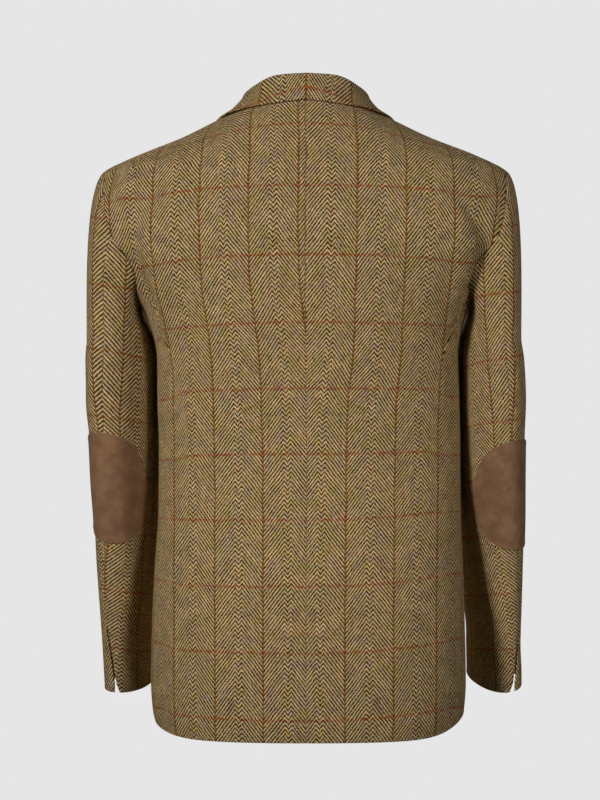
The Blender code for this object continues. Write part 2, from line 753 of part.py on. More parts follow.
def gorge_tent(share, peak):
    """Rises evenly to 1 at the notch and falls evenly to 0 at the end."""
    return share / peak if share < peak else (1 - share) / (1 - peak)


def collar_face(s, t):
    """The collar's middle surface: up the stand, over the fold and down the fall."""
    side = -1 if s < 0.5 else 1
    degrees = abs(2 * s - 1) * COLLAR["angle"][-1]
    angle = math.radians(degrees)
    base = neck_height(angle) + COLLAR_SEAT
    fold = smooth(COLLAR, "fold_height", degrees)
    radius = COLLAR_FOLD_RADIUS
    if t <= COLLAR_STAND_SHARE:
        return off_torso(side, angle, lerp(base, fold, t / COLLAR_STAND_SHARE), 0.0)
    if t <= COLLAR_FALL_SHARE:
        share = (t - COLLAR_STAND_SHARE) / (COLLAR_FALL_SHARE - COLLAR_STAND_SHARE)
        bend = math.pi * share
        height = fold + radius * math.sin(bend)
        return off_torso(side, angle, height, radius * (1 - math.cos(bend)))
    u = (t - COLLAR_FALL_SHARE) / (1 - COLLAR_FALL_SHARE)
    front = max(0.0, (degrees - GORGE["from"]) / (GORGE["to"] - GORGE["from"])) ** 2
    tent = gorge_tent(u, GORGE["share"]) * front
    edge_angle = math.radians(smooth(COLLAR, "edge_angle", degrees))
    edge_height = smooth(COLLAR, "edge_height", degrees)
    middle = smooth(COLLAR, "middle_lift", degrees)
    edge = smooth(COLLAR, "edge_lift", degrees)
    lift = 2 * radius * (1 - u) * (1 - 2 * u) + 4 * middle * u * (1 - u) + edge * u * (2 * u - 1)
    fall_angle = lerp(angle, edge_angle, u) + GORGE["turn"] * tent
    fall_height = lerp(fold, edge_height, u) - GORGE["drop"] * tent
    return off_torso(side, fall_angle, fall_height, lift)


def build_collar():
    columns = shares(2 * COLLAR_STATIONS)
    stand = [COLLAR_STAND_SHARE * share for share in shares(3)]
    bend = [lerp(COLLAR_STAND_SHARE, COLLAR_FALL_SHARE, share) for share in shares(4)]
    fall = [lerp(COLLAR_FALL_SHARE, 1, share) for share in shares(5)]
    half = COLLAR_CLOTH / 2
    rows = stand + bend[1:] + fall[1:]
    wall_object("collar", collar_face, columns, rows, (half, -half), TWEED)


def lapel_face(side):
    def face(s, t):
        roll_height = lerp(BREAK_HEIGHT, ROLL_TOP["height"], t)
        roll = front_edge(roll_height)
        grown = (roll_height - LAPEL_RADIUS["from"]) / (LAPEL_RADIUS["to"] - LAPEL_RADIUS["from"])
        radius = lerp(LAPEL_RADIUS["break"], LAPEL_RADIUS["top"], eased(grown))
        if s <= LAPEL_FOLD_SHARE:
            bend = math.pi * s / LAPEL_FOLD_SHARE
            bulge = radius * math.sin(bend) + LAPEL_CLEAR
            angle = front_angle(roll - bulge, roll_height)
            lift = radius * (1 - math.cos(bend)) - CLOTH / 2
            return cloth_front(side, angle, roll_height, lift)
        u = (s - LAPEL_FOLD_SHARE) / (1 - LAPEL_FOLD_SHARE)
        edge_height = lerp(BREAK_HEIGHT, LAPEL_PEAK["height"], t)
        edge = lerp(-OVERLAP, LAPEL_PEAK["across"], t) + LAPEL_BELLY * math.sin(math.pi * t)
        notch = LAPEL_NOTCH["drop"] * gorge_tent(u, LAPEL_NOTCH["share"]) * t**6
        height = lerp(roll_height, edge_height, u) - notch
        lift = lerp(2 * radius - CLOTH / 2, min(LAPEL_EDGE_LIFT, 2 * radius - CLOTH / 2), u)
        across = lerp(roll - LAPEL_CLEAR, edge, u)
        return cloth_front(side, front_angle(across, height), height, lift)

    return face


def build_lapels():
    fold = [LAPEL_FOLD_SHARE * share for share in shares(4)]
    flat = [lerp(LAPEL_FOLD_SHARE, 1, share) for share in shares(6)]
    rows = [lerp(LAPEL_FOOT, LAPEL_HEAD, share) for share in shares(16)]
    half = CLOTH / 2
    for name, side in SIDES.items():
        wall_object(
            f"lapel_{name}", lapel_face(side), fold + flat[1:], rows, (half, -half), TWEED
        )


def flap_face(side):
    def face(s, t):
        angle = lerp(FLAP["front_angle"], FLAP["back_angle"], s)
        top = lerp(FLAP["front_height"], FLAP["back_height"], s)
        near_end = min(s, 1 - s) * FLAP["length"]
        round_off = max(0.0, 1 - near_end / FLAP["corner"])
        depth = FLAP["depth"] - FLAP["corner"] * (1 - math.sqrt(1 - round_off**2))
        return cloth_front(side, angle, top - depth * t)

    return face


def build_flaps():
    inset = FLAP["corner"] / FLAP["length"]
    corner = [inset * share for share in (0.0, 0.1, 0.35, 1.0)]
    middle = [lerp(inset, 1 - inset, share) for share in shares(6)]
    columns = corner + middle[1:-1] + [1 - share for share in reversed(corner)]
    for name, side in SIDES.items():
        outwards = (-FLAP_CLEAR * side, -(FLAP_CLEAR + CLOTH) * side)
        wall_object(
            f"pocket_flap_{name}", flap_face(side), columns, shares(4),
            outwards, TWEED,
        )


def button_profile():
    """Half section of a button with a rim and a dished face, from its rim's foot inwards."""
    radius, thick = BUTTON["radius"], BUTTON["thickness"]
    return (
        (0.0, 0.0),
        (radius * 0.80, 0.0),
        (radius, thick * 0.45),
        (radius, thick * 0.75),
        (radius * 0.93, thick),
        (radius - BUTTON["rim"], thick),
        (radius - BUTTON["rim"] * 1.5, thick - BUTTON["dish"]),
        (0.0, thick - BUTTON["dish"]),
    )


def build_button(name, height):
    bm = bmesh.new()
    profile = [bm.verts.new((x, 0, z)) for x, z in button_profile()]
    for a, b in zip(profile, profile[1:]):
        bm.edges.new((a, b))
    bmesh.ops.spin(
        bm, geom=bm.verts[:] + bm.edges[:], cent=(0, 0, 0), axis=(0, 0, 1),
        angle=2 * math.pi, steps=BUTTON_SEGMENTS, use_merge=True,
    )
    bmesh.ops.remove_doubles(bm, verts=bm.verts, dist=1e-6)
    bmesh.ops.recalc_face_normals(bm, faces=bm.faces[:])
    mesh = bpy.data.meshes.new(name)
    bm.to_mesh(mesh)
    bm.free()
    mesh.shade_smooth()
    mesh.set_sharp_from_angle(angle=math.radians(35))
    obj = add_object(name, mesh, HORN)
    lift = overlap_lift(1, math.pi, height) + BUTTON_CLEAR
    normal = outward(1, math.pi, height)
    seat = torso(1, math.pi, height) + normal * lift
    turn = normal.to_track_quat("Z", "Y").to_matrix().to_4x4()
    obj.matrix_world = Matrix.Translation(seat) @ turn
    for k in range(BUTTON_HOLES["count"]):
        cut_button_hole(obj, name, k, seat, turn)


def cut_button_hole(obj, name, k, seat, turn):
    around = math.radians(45) + 2 * math.pi * k / BUTTON_HOLES["count"]
    ring = BUTTON_HOLES["ring"]
    bm = bmesh.new()
    bmesh.ops.create_cone(
        bm, cap_ends=True, segments=10, radius1=BUTTON_HOLES["radius"],
        radius2=BUTTON_HOLES["radius"], depth=4 * BUTTON["thickness"],
    )
    mesh = bpy.data.meshes.new(f"cutter_{name}_{k}")
    bm.to_mesh(mesh)
    bm.free()
    cutter = bpy.data.objects.new(mesh.name, mesh)
    bpy.data.collections["cutters"].objects.link(cutter)
    place = Matrix.Translation((ring * math.cos(around), ring * math.sin(around), 0))
    cutter.matrix_world = Matrix.Translation(seat) @ turn @ place
    cutter.hide_render = True
    cutter.display_type = "WIRE"
    cut = obj.modifiers.new(f"hole_{k}", "BOOLEAN")
    cut.operation = "DIFFERENCE"
    cut.object = cutter


def clear_scene():
    for obj in list(bpy.data.objects):
        bpy.data.objects.remove(obj, do_unlink=True)
    for name in ("tweed_hacking_jacket", "cutters"):
        bpy.context.scene.collection.children.link(bpy.data.collections.new(name))


def main():
    clear_scene()
    build_body()
    build_sleeves()
    build_collar()
    build_lapels()
    build_flaps()
    for name, height in BUTTON_HEIGHTS.items():
        build_button(f"front_button_{name}", height)


main()
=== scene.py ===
import json
import math

import bmesh
import bpy
import numpy as np
from mathutils import Matrix

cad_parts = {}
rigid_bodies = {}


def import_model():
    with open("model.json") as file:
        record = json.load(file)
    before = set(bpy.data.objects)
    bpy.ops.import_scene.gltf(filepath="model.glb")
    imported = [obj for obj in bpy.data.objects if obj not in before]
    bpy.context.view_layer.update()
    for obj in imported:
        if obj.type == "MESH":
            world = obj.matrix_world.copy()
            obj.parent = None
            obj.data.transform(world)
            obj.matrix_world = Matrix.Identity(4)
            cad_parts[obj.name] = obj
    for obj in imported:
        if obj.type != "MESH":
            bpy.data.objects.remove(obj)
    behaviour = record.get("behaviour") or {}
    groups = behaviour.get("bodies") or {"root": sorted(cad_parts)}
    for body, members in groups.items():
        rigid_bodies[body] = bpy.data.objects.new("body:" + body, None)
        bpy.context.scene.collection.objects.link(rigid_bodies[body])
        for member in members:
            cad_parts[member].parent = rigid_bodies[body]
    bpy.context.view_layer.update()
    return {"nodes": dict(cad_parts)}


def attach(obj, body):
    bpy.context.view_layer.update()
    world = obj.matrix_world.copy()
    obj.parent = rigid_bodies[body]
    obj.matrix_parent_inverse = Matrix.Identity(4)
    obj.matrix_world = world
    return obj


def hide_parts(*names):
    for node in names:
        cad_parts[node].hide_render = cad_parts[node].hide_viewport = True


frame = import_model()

print("frame loaded:", len(frame["nodes"]), "nodes")

# Metres, +Z up, the front faces -Y and the wearer's left is +X. Heights are above the back hem.
neckHeight = 0.746
clothThickness = 0.002
sides = {"left": 1, "right": -1}
sideNames = {1: "Left", -1: "Right"}


# camera

cameraSet = {"place": (0.0056, 3.320, -0.3474), "turn": (90, 0, 180), "lens": 123.9, "sensor": 36.0}


def makeCamera():
    data = bpy.data.cameras.new("camera")
    data.lens = cameraSet["lens"]
    data.sensor_width = cameraSet["sensor"]
    camera = bpy.data.objects.new("camera", data)
    camera.location = cameraSet["place"]
    camera.rotation_euler = [math.radians(turn) for turn in cameraSet["turn"]]
    bpy.context.scene.collection.objects.link(camera)
    bpy.context.scene.camera = camera


makeCamera()


# the jacket's form, as smooth tables of its level sections

bodyColumns = ("height", "halfWidth", "shift", "back", "front", "backPower", "frontPower")
bodyRows = (
    (-0.030, 0.1700, -0.0045, 0.120, 0.126, 2.40, 2.20),
    (0.000, 0.1790, -0.0045, 0.126, 0.130, 2.40, 2.20),
    (0.025, 0.1870, -0.0045, 0.129, 0.132, 2.40, 2.20),
    (0.060, 0.1895, -0.0045, 0.129, 0.133, 2.40, 2.20),
    (0.120, 0.1885, -0.0045, 0.125, 0.133, 2.40, 2.20),
    (0.200, 0.1855, -0.0050, 0.114, 0.130, 2.40, 2.20),
    (0.270, 0.1820, -0.0060, 0.101, 0.125, 2.40, 2.20),
    (0.340, 0.1815, -0.0060, 0.095, 0.122, 2.40, 2.20),
    (0.400, 0.1820, -0.0045, 0.098, 0.126, 2.40, 2.20),
    (0.450, 0.1812, -0.0034, 0.105, 0.132, 2.45, 2.15),
    (0.495, 0.1905, -0.0015, 0.111, 0.136, 2.50, 2.10),
    (0.530, 0.2110, 0.0000, 0.114, 0.137, 2.55, 2.10),
    (0.561, 0.2350, 0.0000, 0.116, 0.135, 2.60, 2.05),
    (0.590, 0.2550, 0.0000, 0.116, 0.130, 2.70, 2.00),
    (0.620, 0.2620, 0.0000, 0.114, 0.121, 2.60, 2.00),
    (0.645, 0.2575, -0.0005, 0.110, 0.112, 2.45, 2.00),
    (0.660, 0.2510, -0.0010, 0.107, 0.105, 2.30, 2.00),
    (0.675, 0.2405, -0.0015, 0.104, 0.097, 2.15, 2.00),
    (0.683, 0.2255, -0.0026, 0.102, 0.092, 2.10, 2.00),
    (0.695, 0.1988, -0.0028, 0.098, 0.084, 2.00, 2.00),
    (0.714, 0.1500, -0.0020, 0.091, 0.066, 2.00, 2.00),
    (0.734, 0.1085, -0.0010, 0.083, 0.048, 2.00, 2.00),
    (0.746, 0.0830, -0.0008, 0.077, 0.036, 2.00, 2.00),
    (0.762, 0.0695, -0.0016, 0.069, 0.028, 2.00, 2.00),
    (0.790, 0.0668, -0.0026, 0.062, 0.024, 2.00, 2.00),
)


def readTable(columns, rows):
    return {name: np.array([row[i] for row in rows], float) for i, name in enumerate(columns)}


body = readTable(bodyColumns, bodyRows)


def lerp(a, b, share):
    return a + (b - a) * share


def eased(share):
    share = np.clip(share, 0.0, 1.0)
    return share * share * (3 - 2 * share)


def smooth(table, name, at):
    # a curve through a column that never overshoots
    keys = next(iter(table.values()))
    values = table[name]
    rises = np.diff(values) / np.diff(keys)
    before, after = rises[:-1], rises[1:]
    sameWay = before * after > 0
    slopes = np.concatenate((rises[:1], np.zeros(len(keys) - 2), rises[-1:]))
    slopes[1:-1][sameWay] = (2 * before * after)[sameWay] / (before + after)[sameWay]
    at = np.clip(at, keys[0], keys[-1])
    i = np.clip(np.searchsorted(keys, at, side="right") - 1, 0, len(keys) - 2)
    span = keys[i + 1] - keys[i]
    u = (at - keys[i]) / span
    return (
        values[i] * (1 + 2 * u) * (1 - u) ** 2
        + values[i + 1] * u * u * (3 - 2 * u)
        + span * slopes[i] * u * (1 - u) ** 2
        + span * slopes[i + 1] * u * u * (u - 1)
    )


# Soft folds of the body's cloth: a ridge, or a trough where the rise is negative, along a
# line from its upper to its lower end. Angles turn from centre back (0) to centre front.
foldColumns = ("side", "topAngle", "topHeight", "lowAngle", "lowHeight", "rise", "width")
foldRows = (
    (1, 66, 0.630, 75, 0.500, -0.0100, 0.010),
    (1, 60, 0.610, 68, 0.480, 0.0030, 0.010),
    (1, 46, 0.600, 58, 0.480, -0.0025, 0.016),
    (-1, 66.5, 0.620, 77, 0.515, -0.0110, 0.0065),
    (-1, 61, 0.620, 70, 0.500, 0.0030, 0.009),
    (-1, 42, 0.600, 52, 0.470, -0.0025, 0.018),
)
folds = [dict(zip(foldColumns, row)) for row in foldRows]
foldEnds = {"stretch": 1.5, "fade": 0.4, "over": 0.55}


def foldRise(side, angle, height):
    rise = np.zeros(np.broadcast(angle, height).shape)
    arm = smooth(body, "back", height) * foldEnds["stretch"]
    fade = foldEnds["fade"]
    for fold in folds:
        along = (fold["topHeight"] - height) / (fold["topHeight"] - fold["lowHeight"])
        middle = np.radians(lerp(fold["topAngle"], fold["lowAngle"], along))
        off = (angle - middle) * arm
        ends = eased((along + fade) / foldEnds["over"]) * eased((1 + fade - along) / foldEnds["over"])
        rise += (side == fold["side"]) * fold["rise"] * ends * np.exp(-((off / fold["width"]) ** 2))
    return rise


def half(angle, stem, height):
    # the back's or the front's value, by which half an angle lies in
    back, front = smooth(body, "back" + stem, height), smooth(body, "front" + stem, height)
    return np.where(np.cos(angle) >= 0, back, front)


def superEllipse(share, power):
    # the other half axis's share, on the rounded square of a level section
    return (1 - share**power) ** (1 / power)


def torso(side, angle, height):
    power = half(angle, "Power", height)
    wide = np.abs(np.sin(angle)) / smooth(body, "halfWidth", height)
    deep = np.abs(np.cos(angle)) / half(angle, "", height)
    radius = (wide**power + deep**power) ** (-1 / power) + foldRise(side, angle, height)
    across = side * radius * np.sin(angle) + smooth(body, "shift", height)
    return np.stack(np.broadcast_arrays(across, radius * np.cos(angle), height - neckHeight), -1)


def unit(vectors):
    return vectors / np.maximum(np.linalg.norm(vectors, axis=-1, keepdims=True), 1e-12)


def offTorso(side, angle, height, lift):
    step = 1e-4
    across = torso(side, angle + step, height) - torso(side, angle - step, height)
    up = torso(side, angle, height + step) - torso(side, angle, height - step)
    outward = unit(np.cross(up, across) * np.asarray(side)[..., None])
    return torso(side, angle, height) + outward * np.asarray(lift)[..., None]


widestShare = 0.999  # of the half width, short of where the front turns into the side


def frontAngle(across, height):
    share = np.minimum(widestShare, np.abs(across) / smooth(body, "halfWidth", height))
    depth = smooth(body, "front", height) * superEllipse(share, smooth(body, "frontPower", height))
    return np.arctan2(across, -depth) % (2 * math.pi)


# armholes, and the seams that run up to them

armholeSet = {
    "top": 0.675, "bottom": 0.510,
    "backHeight": 0.590, "backDepth": 0.070, "frontHeight": 0.565, "frontDepth": 0.066,
    "backJoint": math.radians(135), "frontJoint": math.radians(225),
}
bodySeams = readTable(
    ("height", "back", "front"),
    ((-0.030, 63.5, 108.0), (0.120, 63.5, 108.0), (0.250, 63.5, 108.0), (0.340, 64.0, 108.0),
     (0.430, 67.0, 106.5)),
)
panelShares = {"joint": 0.60, "shoulder": 0.85}


def armhole(turn):
    behind = np.sin(turn) >= 0
    middle = np.where(behind, armholeSet["backHeight"], armholeSet["frontHeight"])
    far = np.where(np.cos(turn) >= 0, armholeSet["top"], armholeSet["bottom"])
    height = middle + np.abs(far - middle) * np.cos(turn)
    depth = np.sin(turn) * np.where(behind, armholeSet["backDepth"], armholeSet["frontDepth"])
    power = np.where(behind, smooth(body, "backPower", height), smooth(body, "frontPower", height))
    deepest = np.where(behind, smooth(body, "back", height), smooth(body, "front", height))
    share = np.minimum(1.0, np.abs(depth) / deepest)
    across = smooth(body, "halfWidth", height) * superEllipse(share, power)
    return np.arctan2(across, depth), height


def seamAngle(name, height):
    jointAngle, jointHeight = armhole(armholeSet[name + "Joint"])
    last = bodySeams["height"][-1]
    low = np.radians(smooth(bodySeams, name, height))
    return lerp(low, jointAngle, eased((height - last) / (jointHeight - last)))


# hem, neck and front edges

hemSet = {
    "riseLeft": 0.0125, "riseRight": 0.0235, "spread": math.radians(19), "sideAngle": math.radians(88),
    "frontDrop": 0.006, "dropOver": math.radians(50),
}
neckSet = {
    "bladeHeight": 0.60, "backRise": 0.016, "centreShift": 0.6,
    "rollAcross": 0.0705, "rollHeight": 0.713,
}
frontSet = {
    "overlap": 0.020, "breakHeight": 0.375,
    "quarterTop": 0.205, "quarterSweep": 0.088, "quarterPower": 2.2,
    "liftBelow": 0.0026, "liftAbove": 0.0054, "liftFrom": 0.070, "liftTo": 0.018,
    "stepHeight": 0.300, "endHeight": 0.460, "stepOver": 0.060,
}


def hemHeight(side, angle):
    past = angle - hemSet["sideAngle"]
    off = past / hemSet["spread"]
    rise = hemSet["rise" + sideNames[side]] * np.exp(-off * off)
    return rise - hemSet["frontDrop"] * eased(past / hemSet["dropOver"])


rollTopAngle = frontAngle(neckSet["rollAcross"], neckSet["rollHeight"])


def neckLine(angle):
    # where the collar is sewn on
    behind = neckHeight + neckSet["backRise"] * np.cos(angle) ** 2
    before = lerp(neckHeight, neckSet["rollHeight"], (angle - math.pi / 2) / (rollTopAngle - math.pi / 2))
    return np.where(angle <= math.pi / 2, behind, before)


def neckPull(height):
    return np.maximum(0.0, (height - neckSet["bladeHeight"]) / (neckHeight - neckSet["bladeHeight"])) ** 2


def frontEdge(height):
    overlap = frontSet["overlap"]
    rollShare = (height - frontSet["breakHeight"]) / (neckSet["rollHeight"] - frontSet["breakHeight"])
    cutShare = np.clip(1 - height / frontSet["quarterTop"], 0.0, 1.0)
    power = frontSet["quarterPower"]
    cut = -overlap + frontSet["quarterSweep"] * (1 - np.maximum(0.0, 1 - cutShare**power) ** (1 / power))
    return np.where(rollShare >= 0, lerp(-overlap, neckSet["rollAcross"], rollShare), cut)


def overlapLift(side, angle, height):
    # the left front lies over the right one, and over the foot of the right lapel
    across = smooth(body, "front", height) * -np.tan(angle)
    near = eased((frontSet["liftFrom"] - across) / (frontSet["liftFrom"] - frontSet["liftTo"]))
    high = eased((height - frontSet["stepHeight"]) / frontSet["stepOver"])
    fade = 1 - eased((height - frontSet["endHeight"]) / frontSet["stepOver"])
    lift = near * fade * lerp(frontSet["liftBelow"], frontSet["liftAbove"], high)
    return np.where((side > 0) & (angle > math.pi / 2), lift, 0.0)


def clothFront(side, angle, height, lift=0.0):
    return offTorso(side, angle, height, overlapLift(side, angle, height) + lift)


# sleeves

sleeveTable = readTable(
    ("height", "outerLeft", "outerRight", "widthLeft", "widthRight", "turnInLeft", "turnInRight", "back",
     "front"),
    (
        (0.000, 0.2496, 0.2755, 0.0515, 0.0497, 0.016, 0.034, -0.035, -0.148),
        (0.060, 0.2530, 0.2762, 0.0527, 0.0495, 0.020, 0.036, -0.018, -0.136),
        (0.108, 0.2557, 0.2736, 0.0537, 0.0461, 0.024, 0.038, -0.003, -0.126),
        (0.157, 0.2590, 0.2749, 0.0588, 0.0536, 0.026, 0.037, 0.012, -0.117),
        (0.205, 0.2624, 0.2756, 0.0632, 0.0589, 0.029, 0.036, 0.026, -0.109),
        (0.254, 0.2647, 0.2761, 0.0664, 0.0660, 0.032, 0.033, 0.038, -0.102),
        (0.302, 0.2684, 0.2754, 0.0698, 0.0705, 0.035, 0.031, 0.050, -0.096),
        (0.350, 0.2707, 0.2749, 0.0715, 0.0716, 0.037, 0.029, 0.058, -0.091),
        (0.399, 0.2752, 0.2763, 0.0758, 0.0740, 0.037, 0.029, 0.064, -0.088),
        (0.447, 0.2749, 0.2740, 0.0765, 0.0722, 0.034, 0.030, 0.067, -0.085),
        (0.470, 0.2719, 0.2694, 0.0730, 0.0671, 0.029, 0.027, 0.068, -0.084),
        (0.500, 0.2697, 0.2656, 0.0726, 0.0665, 0.010, 0.010, 0.068, -0.084),
    ),
)
sleeveSeams = readTable(
    ("down", "hindarmLeft", "hindarmRight", "forearm"),
    ((0.000, 90, 90, 247.5), (0.400, 88, 89, 247.5), (0.573, 87, 82, 247.0), (0.646, 83, 78, 246.5),
     (0.718, 79, 74, 246.0), (0.790, 71, 64, 245.0), (0.863, 66, 53, 244.0), (0.935, 77, 73, 243.0),
     (1.000, 86, 88, 242.0)),
)
sleeveSet = {
    "power": 2.15, "bicep": 0.470, "capShare": 0.4, "reachLeft": 0.078, "reachRight": 0.068,
    "reachUnder": 0.012, "dropTop": 0.040, "dropUnder": 0.016, "arrival": 0.9,
}
cuffSet = {
    "Left": {"height": 0.0490, "slant": 0.006, "lowest": math.radians(95)},
    "Right": {"height": 0.0565, "slant": 0.014, "lowest": math.radians(115)},
}
ventSet = {
    "top": 0.883, "over": 0.01, "parting": 0.0011, "cornerFrom": 0.985, "cornerParting": 0.0030,
    "near": 4,  # the vent moves one in this many of a sleeve half's columns
}


def sleeveRing(side, turn, height):
    name = sideNames[side]
    halfWidth = smooth(sleeveTable, "width" + name, height) / 2
    back, front = smooth(sleeveTable, "back", height), smooth(sleeveTable, "front", height)
    middle = smooth(sleeveTable, "outer" + name, height) - halfWidth
    power = 2 / sleeveSet["power"]
    out, rear = (np.sign(way) * np.abs(way) ** power for way in (np.cos(turn), np.sin(turn)))
    turned = smooth(sleeveTable, "turnIn" + name, height) * (1 - rear) / 2
    across = side * (middle + halfWidth * out - turned)
    behind = (back + front) / 2 + (back - front) / 2 * rear
    return np.stack(np.broadcast_arrays(across, behind, height - neckHeight), -1)


def cuffHeight(side, turn):
    cuff = cuffSet[sideNames[side]]
    return cuff["height"] - cuff["slant"] * np.cos(turn - cuff["lowest"])


def sleeve(side, turn, down):
    # down is 0 on the armhole, capShare at the upper arm and 1 at the cuff
    turn, down = np.broadcast_arrays(turn, down)
    share = np.maximum(0.0, (down - sleeveSet["capShare"]) / (1 - sleeveSet["capShare"]))
    arm = sleeveRing(side, turn, lerp(sleeveSet["bicep"], cuffHeight(side, turn), share))
    u = np.minimum(1.0, down / sleeveSet["capShare"])[..., None]
    start = torso(side, *armhole(turn))
    end = sleeveRing(side, turn, sleeveSet["bicep"])
    topness = (1 + np.cos(turn)) / 2
    reach = lerp(sleeveSet["reachUnder"], sleeveSet["reach" + sideNames[side]], topness)
    drop = lerp(sleeveSet["dropUnder"], sleeveSet["dropTop"], topness)
    leave = np.stack((side * reach, 0 * reach, -drop), -1)
    arrive = np.zeros(start.shape)
    arrive[..., 2] = -sleeveSet["arrival"] * (start[..., 2] - end[..., 2])
    cap = (
        start * (2 * u**3 - 3 * u**2 + 1) + leave * (u**3 - 2 * u**2 + u)
        + end * (3 * u**2 - 2 * u**3) + arrive * (u**3 - u**2)
    )
    return np.where((down >= sleeveSet["capShare"])[..., None], arm, cap)


def sleeveTurn(side, column, down):
    # column is -1 to 0 on the top sleeve and 0 to 1 on the under sleeve
    hindarm = np.radians(smooth(sleeveSeams, "hindarm" + sideNames[side], down))
    forearm = np.radians(smooth(sleeveSeams, "forearm", down))
    under = lerp(hindarm, forearm, column)
    return np.where(column <= 0, lerp(hindarm, forearm - 2 * math.pi, -column), under)


def partedTurn(side, turn, down, direction):
    # opens the hindarm vent above the cuff
    corner = eased((down - ventSet["cornerFrom"]) / (1 - ventSet["cornerFrom"]))
    opened = eased((down - ventSet["top"]) / ventSet["over"])
    parting = lerp(ventSet["parting"], ventSet["cornerParting"], corner) * opened
    step = 0.01
    length = np.linalg.norm(sleeve(side, turn + step, down) - sleeve(side, turn - step, down), axis=-1)
    return turn + direction * parting * 2 * step / length


print("form ready")


# cloth walls

# At an edge of a cloth wall, more rows lie close by, the wall thins to a rounded end, and
# the cloth dips towards the inside. A seam stops short of its neighbour by the gap.
seamEdge = {"gap": 0.00002, "rings": (0, 0.0003, 0.0008, 0.0020, 0.0042)}
freeEdge = {"gap": 0.0, "rings": (0, 0.0002, 0.0006, 0.0012, 0.0035)}
edgeKinds = {
    "seam": {**seamEdge, "round": 0.0007, "dip": 0.0006, "reach": 0.0022},
    "flat": {**seamEdge, "round": 0.0003, "dip": 0.00015, "reach": 0.0015},
    "armhole": {**seamEdge, "round": 0.0005, "dip": 0.0001, "reach": 0.0020},
    "free": {**freeEdge, "round": 0.0011, "dip": -0.0003, "reach": 0.0030},
}
wallSet = {"crowding": 0.3, "thinnest": 0.22}

# A piece's own set gives its columns and rows as stops and counts, its two faces as offsets
# from the drawn surface, and the height that its grain is counted from. Where it doesn't,
# these stand.
plainSet = {"columns": ((0, 1), (40,)), "offsets": (0.0, clothThickness), "level": 0.26}


def stretches(stops, counts):
    # shares from each stop to the next, each stretch with its own count
    parts = [np.linspace(*ends) for ends in zip(stops, stops[1:], counts)]
    return np.concatenate(parts[:1] + [part[1:] for part in parts[1:]])


def ringed(values, kinds, lengths):
    # shares with a few more close to each end, for the rounded edge and the pressed seam
    crowding = wallSet["crowding"]
    ends = []
    for kind, (end, beside), length in zip(kinds, (values[:2], values[:-3:-1]), lengths):
        rings, gap = edgeKinds[kind]["rings"], edgeKinds[kind]["gap"]
        ends.append([
            end + (beside - end) * np.minimum((gap + d) / length, (k + crowding) / (len(rings) + crowding))
            for k, d in enumerate(rings)
        ])
    plain = [np.full(lengths[0].shape, value) for value in values[1:-1]]
    return np.array(ends[0] + plain + ends[1][::-1])


def repeated(values, kinds):
    # the plain values again, one for each row that ringed gives
    count = len(edgeKinds[kinds[0]]["rings"])
    return np.concatenate((np.full(count, values[0]), values[1:-1], np.full(count, values[-1])))


def lengthBetween(a, b):
    return np.maximum(np.linalg.norm(a - b, axis=-1), 1e-6)


def normalsOf(face, s, t, step=1e-4):
    acrossStep = face(np.minimum(1, s + step), t) - face(np.maximum(0, s - step), t)
    alongStep = face(s, np.minimum(1, t + step)) - face(s, np.maximum(0, t - step))
    return unit(np.cross(acrossStep, alongStep))


def wallPoints(face, columns, rows, offsets, edges):
    # edges are the kinds of the first and last column, then of the first and last row
    plainRows, plainColumns = repeated(rows, edges[2:]), repeated(columns, edges[:2])
    lines = [face(np.full(plainRows.shape, columns[k]), plainRows) for k in (0, 1, -1, -2)]
    lines += [face(plainColumns, np.full(plainColumns.shape, rows[k])) for k in (0, 1, -1, -2)]
    lengths = [lengthBetween(*lines[k:k + 2]) for k in range(0, len(lines), 2)]
    s = ringed(columns, edges[:2], lengths[:2])
    t = ringed(rows, edges[2:], lengths[2:]).T
    points = face(s, t)
    normals = normalsOf(face, s, t)
    away = [
        (s - columns[0]) / (columns[1] - columns[0]) * lengths[0][None, :],
        (columns[-1] - s) / (columns[-1] - columns[-2]) * lengths[1][None, :],
        (t - rows[0]) / (rows[1] - rows[0]) * lengths[2][:, None],
        (rows[-1] - t) / (rows[-1] - rows[-2]) * lengths[3][:, None],
    ]
    inward = math.copysign(1.0, offsets[1] - offsets[0])
    middle = np.full(s.shape, (offsets[0] + offsets[1]) / 2)
    thickness = np.full(s.shape, (offsets[0] - offsets[1]) / 2)
    for kind, off in zip(edges, away):
        kind = edgeKinds[kind]
        inside = np.clip(off / kind["round"], 0.0, 1.0)
        thickness = thickness * np.maximum(wallSet["thinnest"], np.sqrt(1 - (1 - inside) ** 2))
        middle = middle + inward * kind["dip"] * np.exp(-((off / kind["reach"]) ** 2))
    outer = points + normals * (middle + thickness)[..., None]
    inner = points + normals * (middle - thickness)[..., None]
    return t, points, normals, outer, inner


def grainOf(points, level):
    # distances across and up the flat cloth: across each level line, and at right angles to it
    across = np.zeros(points.shape[:2])
    across[1:] = np.cumsum(np.linalg.norm(np.diff(points, axis=0), axis=-1), axis=0)
    lines = unit(np.gradient(points, axis=0))
    steps = np.diff(points, axis=1)
    lines = unit(lines[:, 1:] + lines[:, :-1])
    steps = steps - lines * np.sum(steps * lines, axis=-1, keepdims=True)
    up = np.zeros(points.shape[:2])
    up[:, 1:] = np.cumsum(np.linalg.norm(steps, axis=-1) * np.sign(steps[..., 2]), axis=1)
    heights = points[..., 2] + neckHeight
    row = int(np.argmin(np.abs(heights.mean(axis=0) - level)))
    up += (heights[:, row] - up[:, row])[:, None]
    return across, up


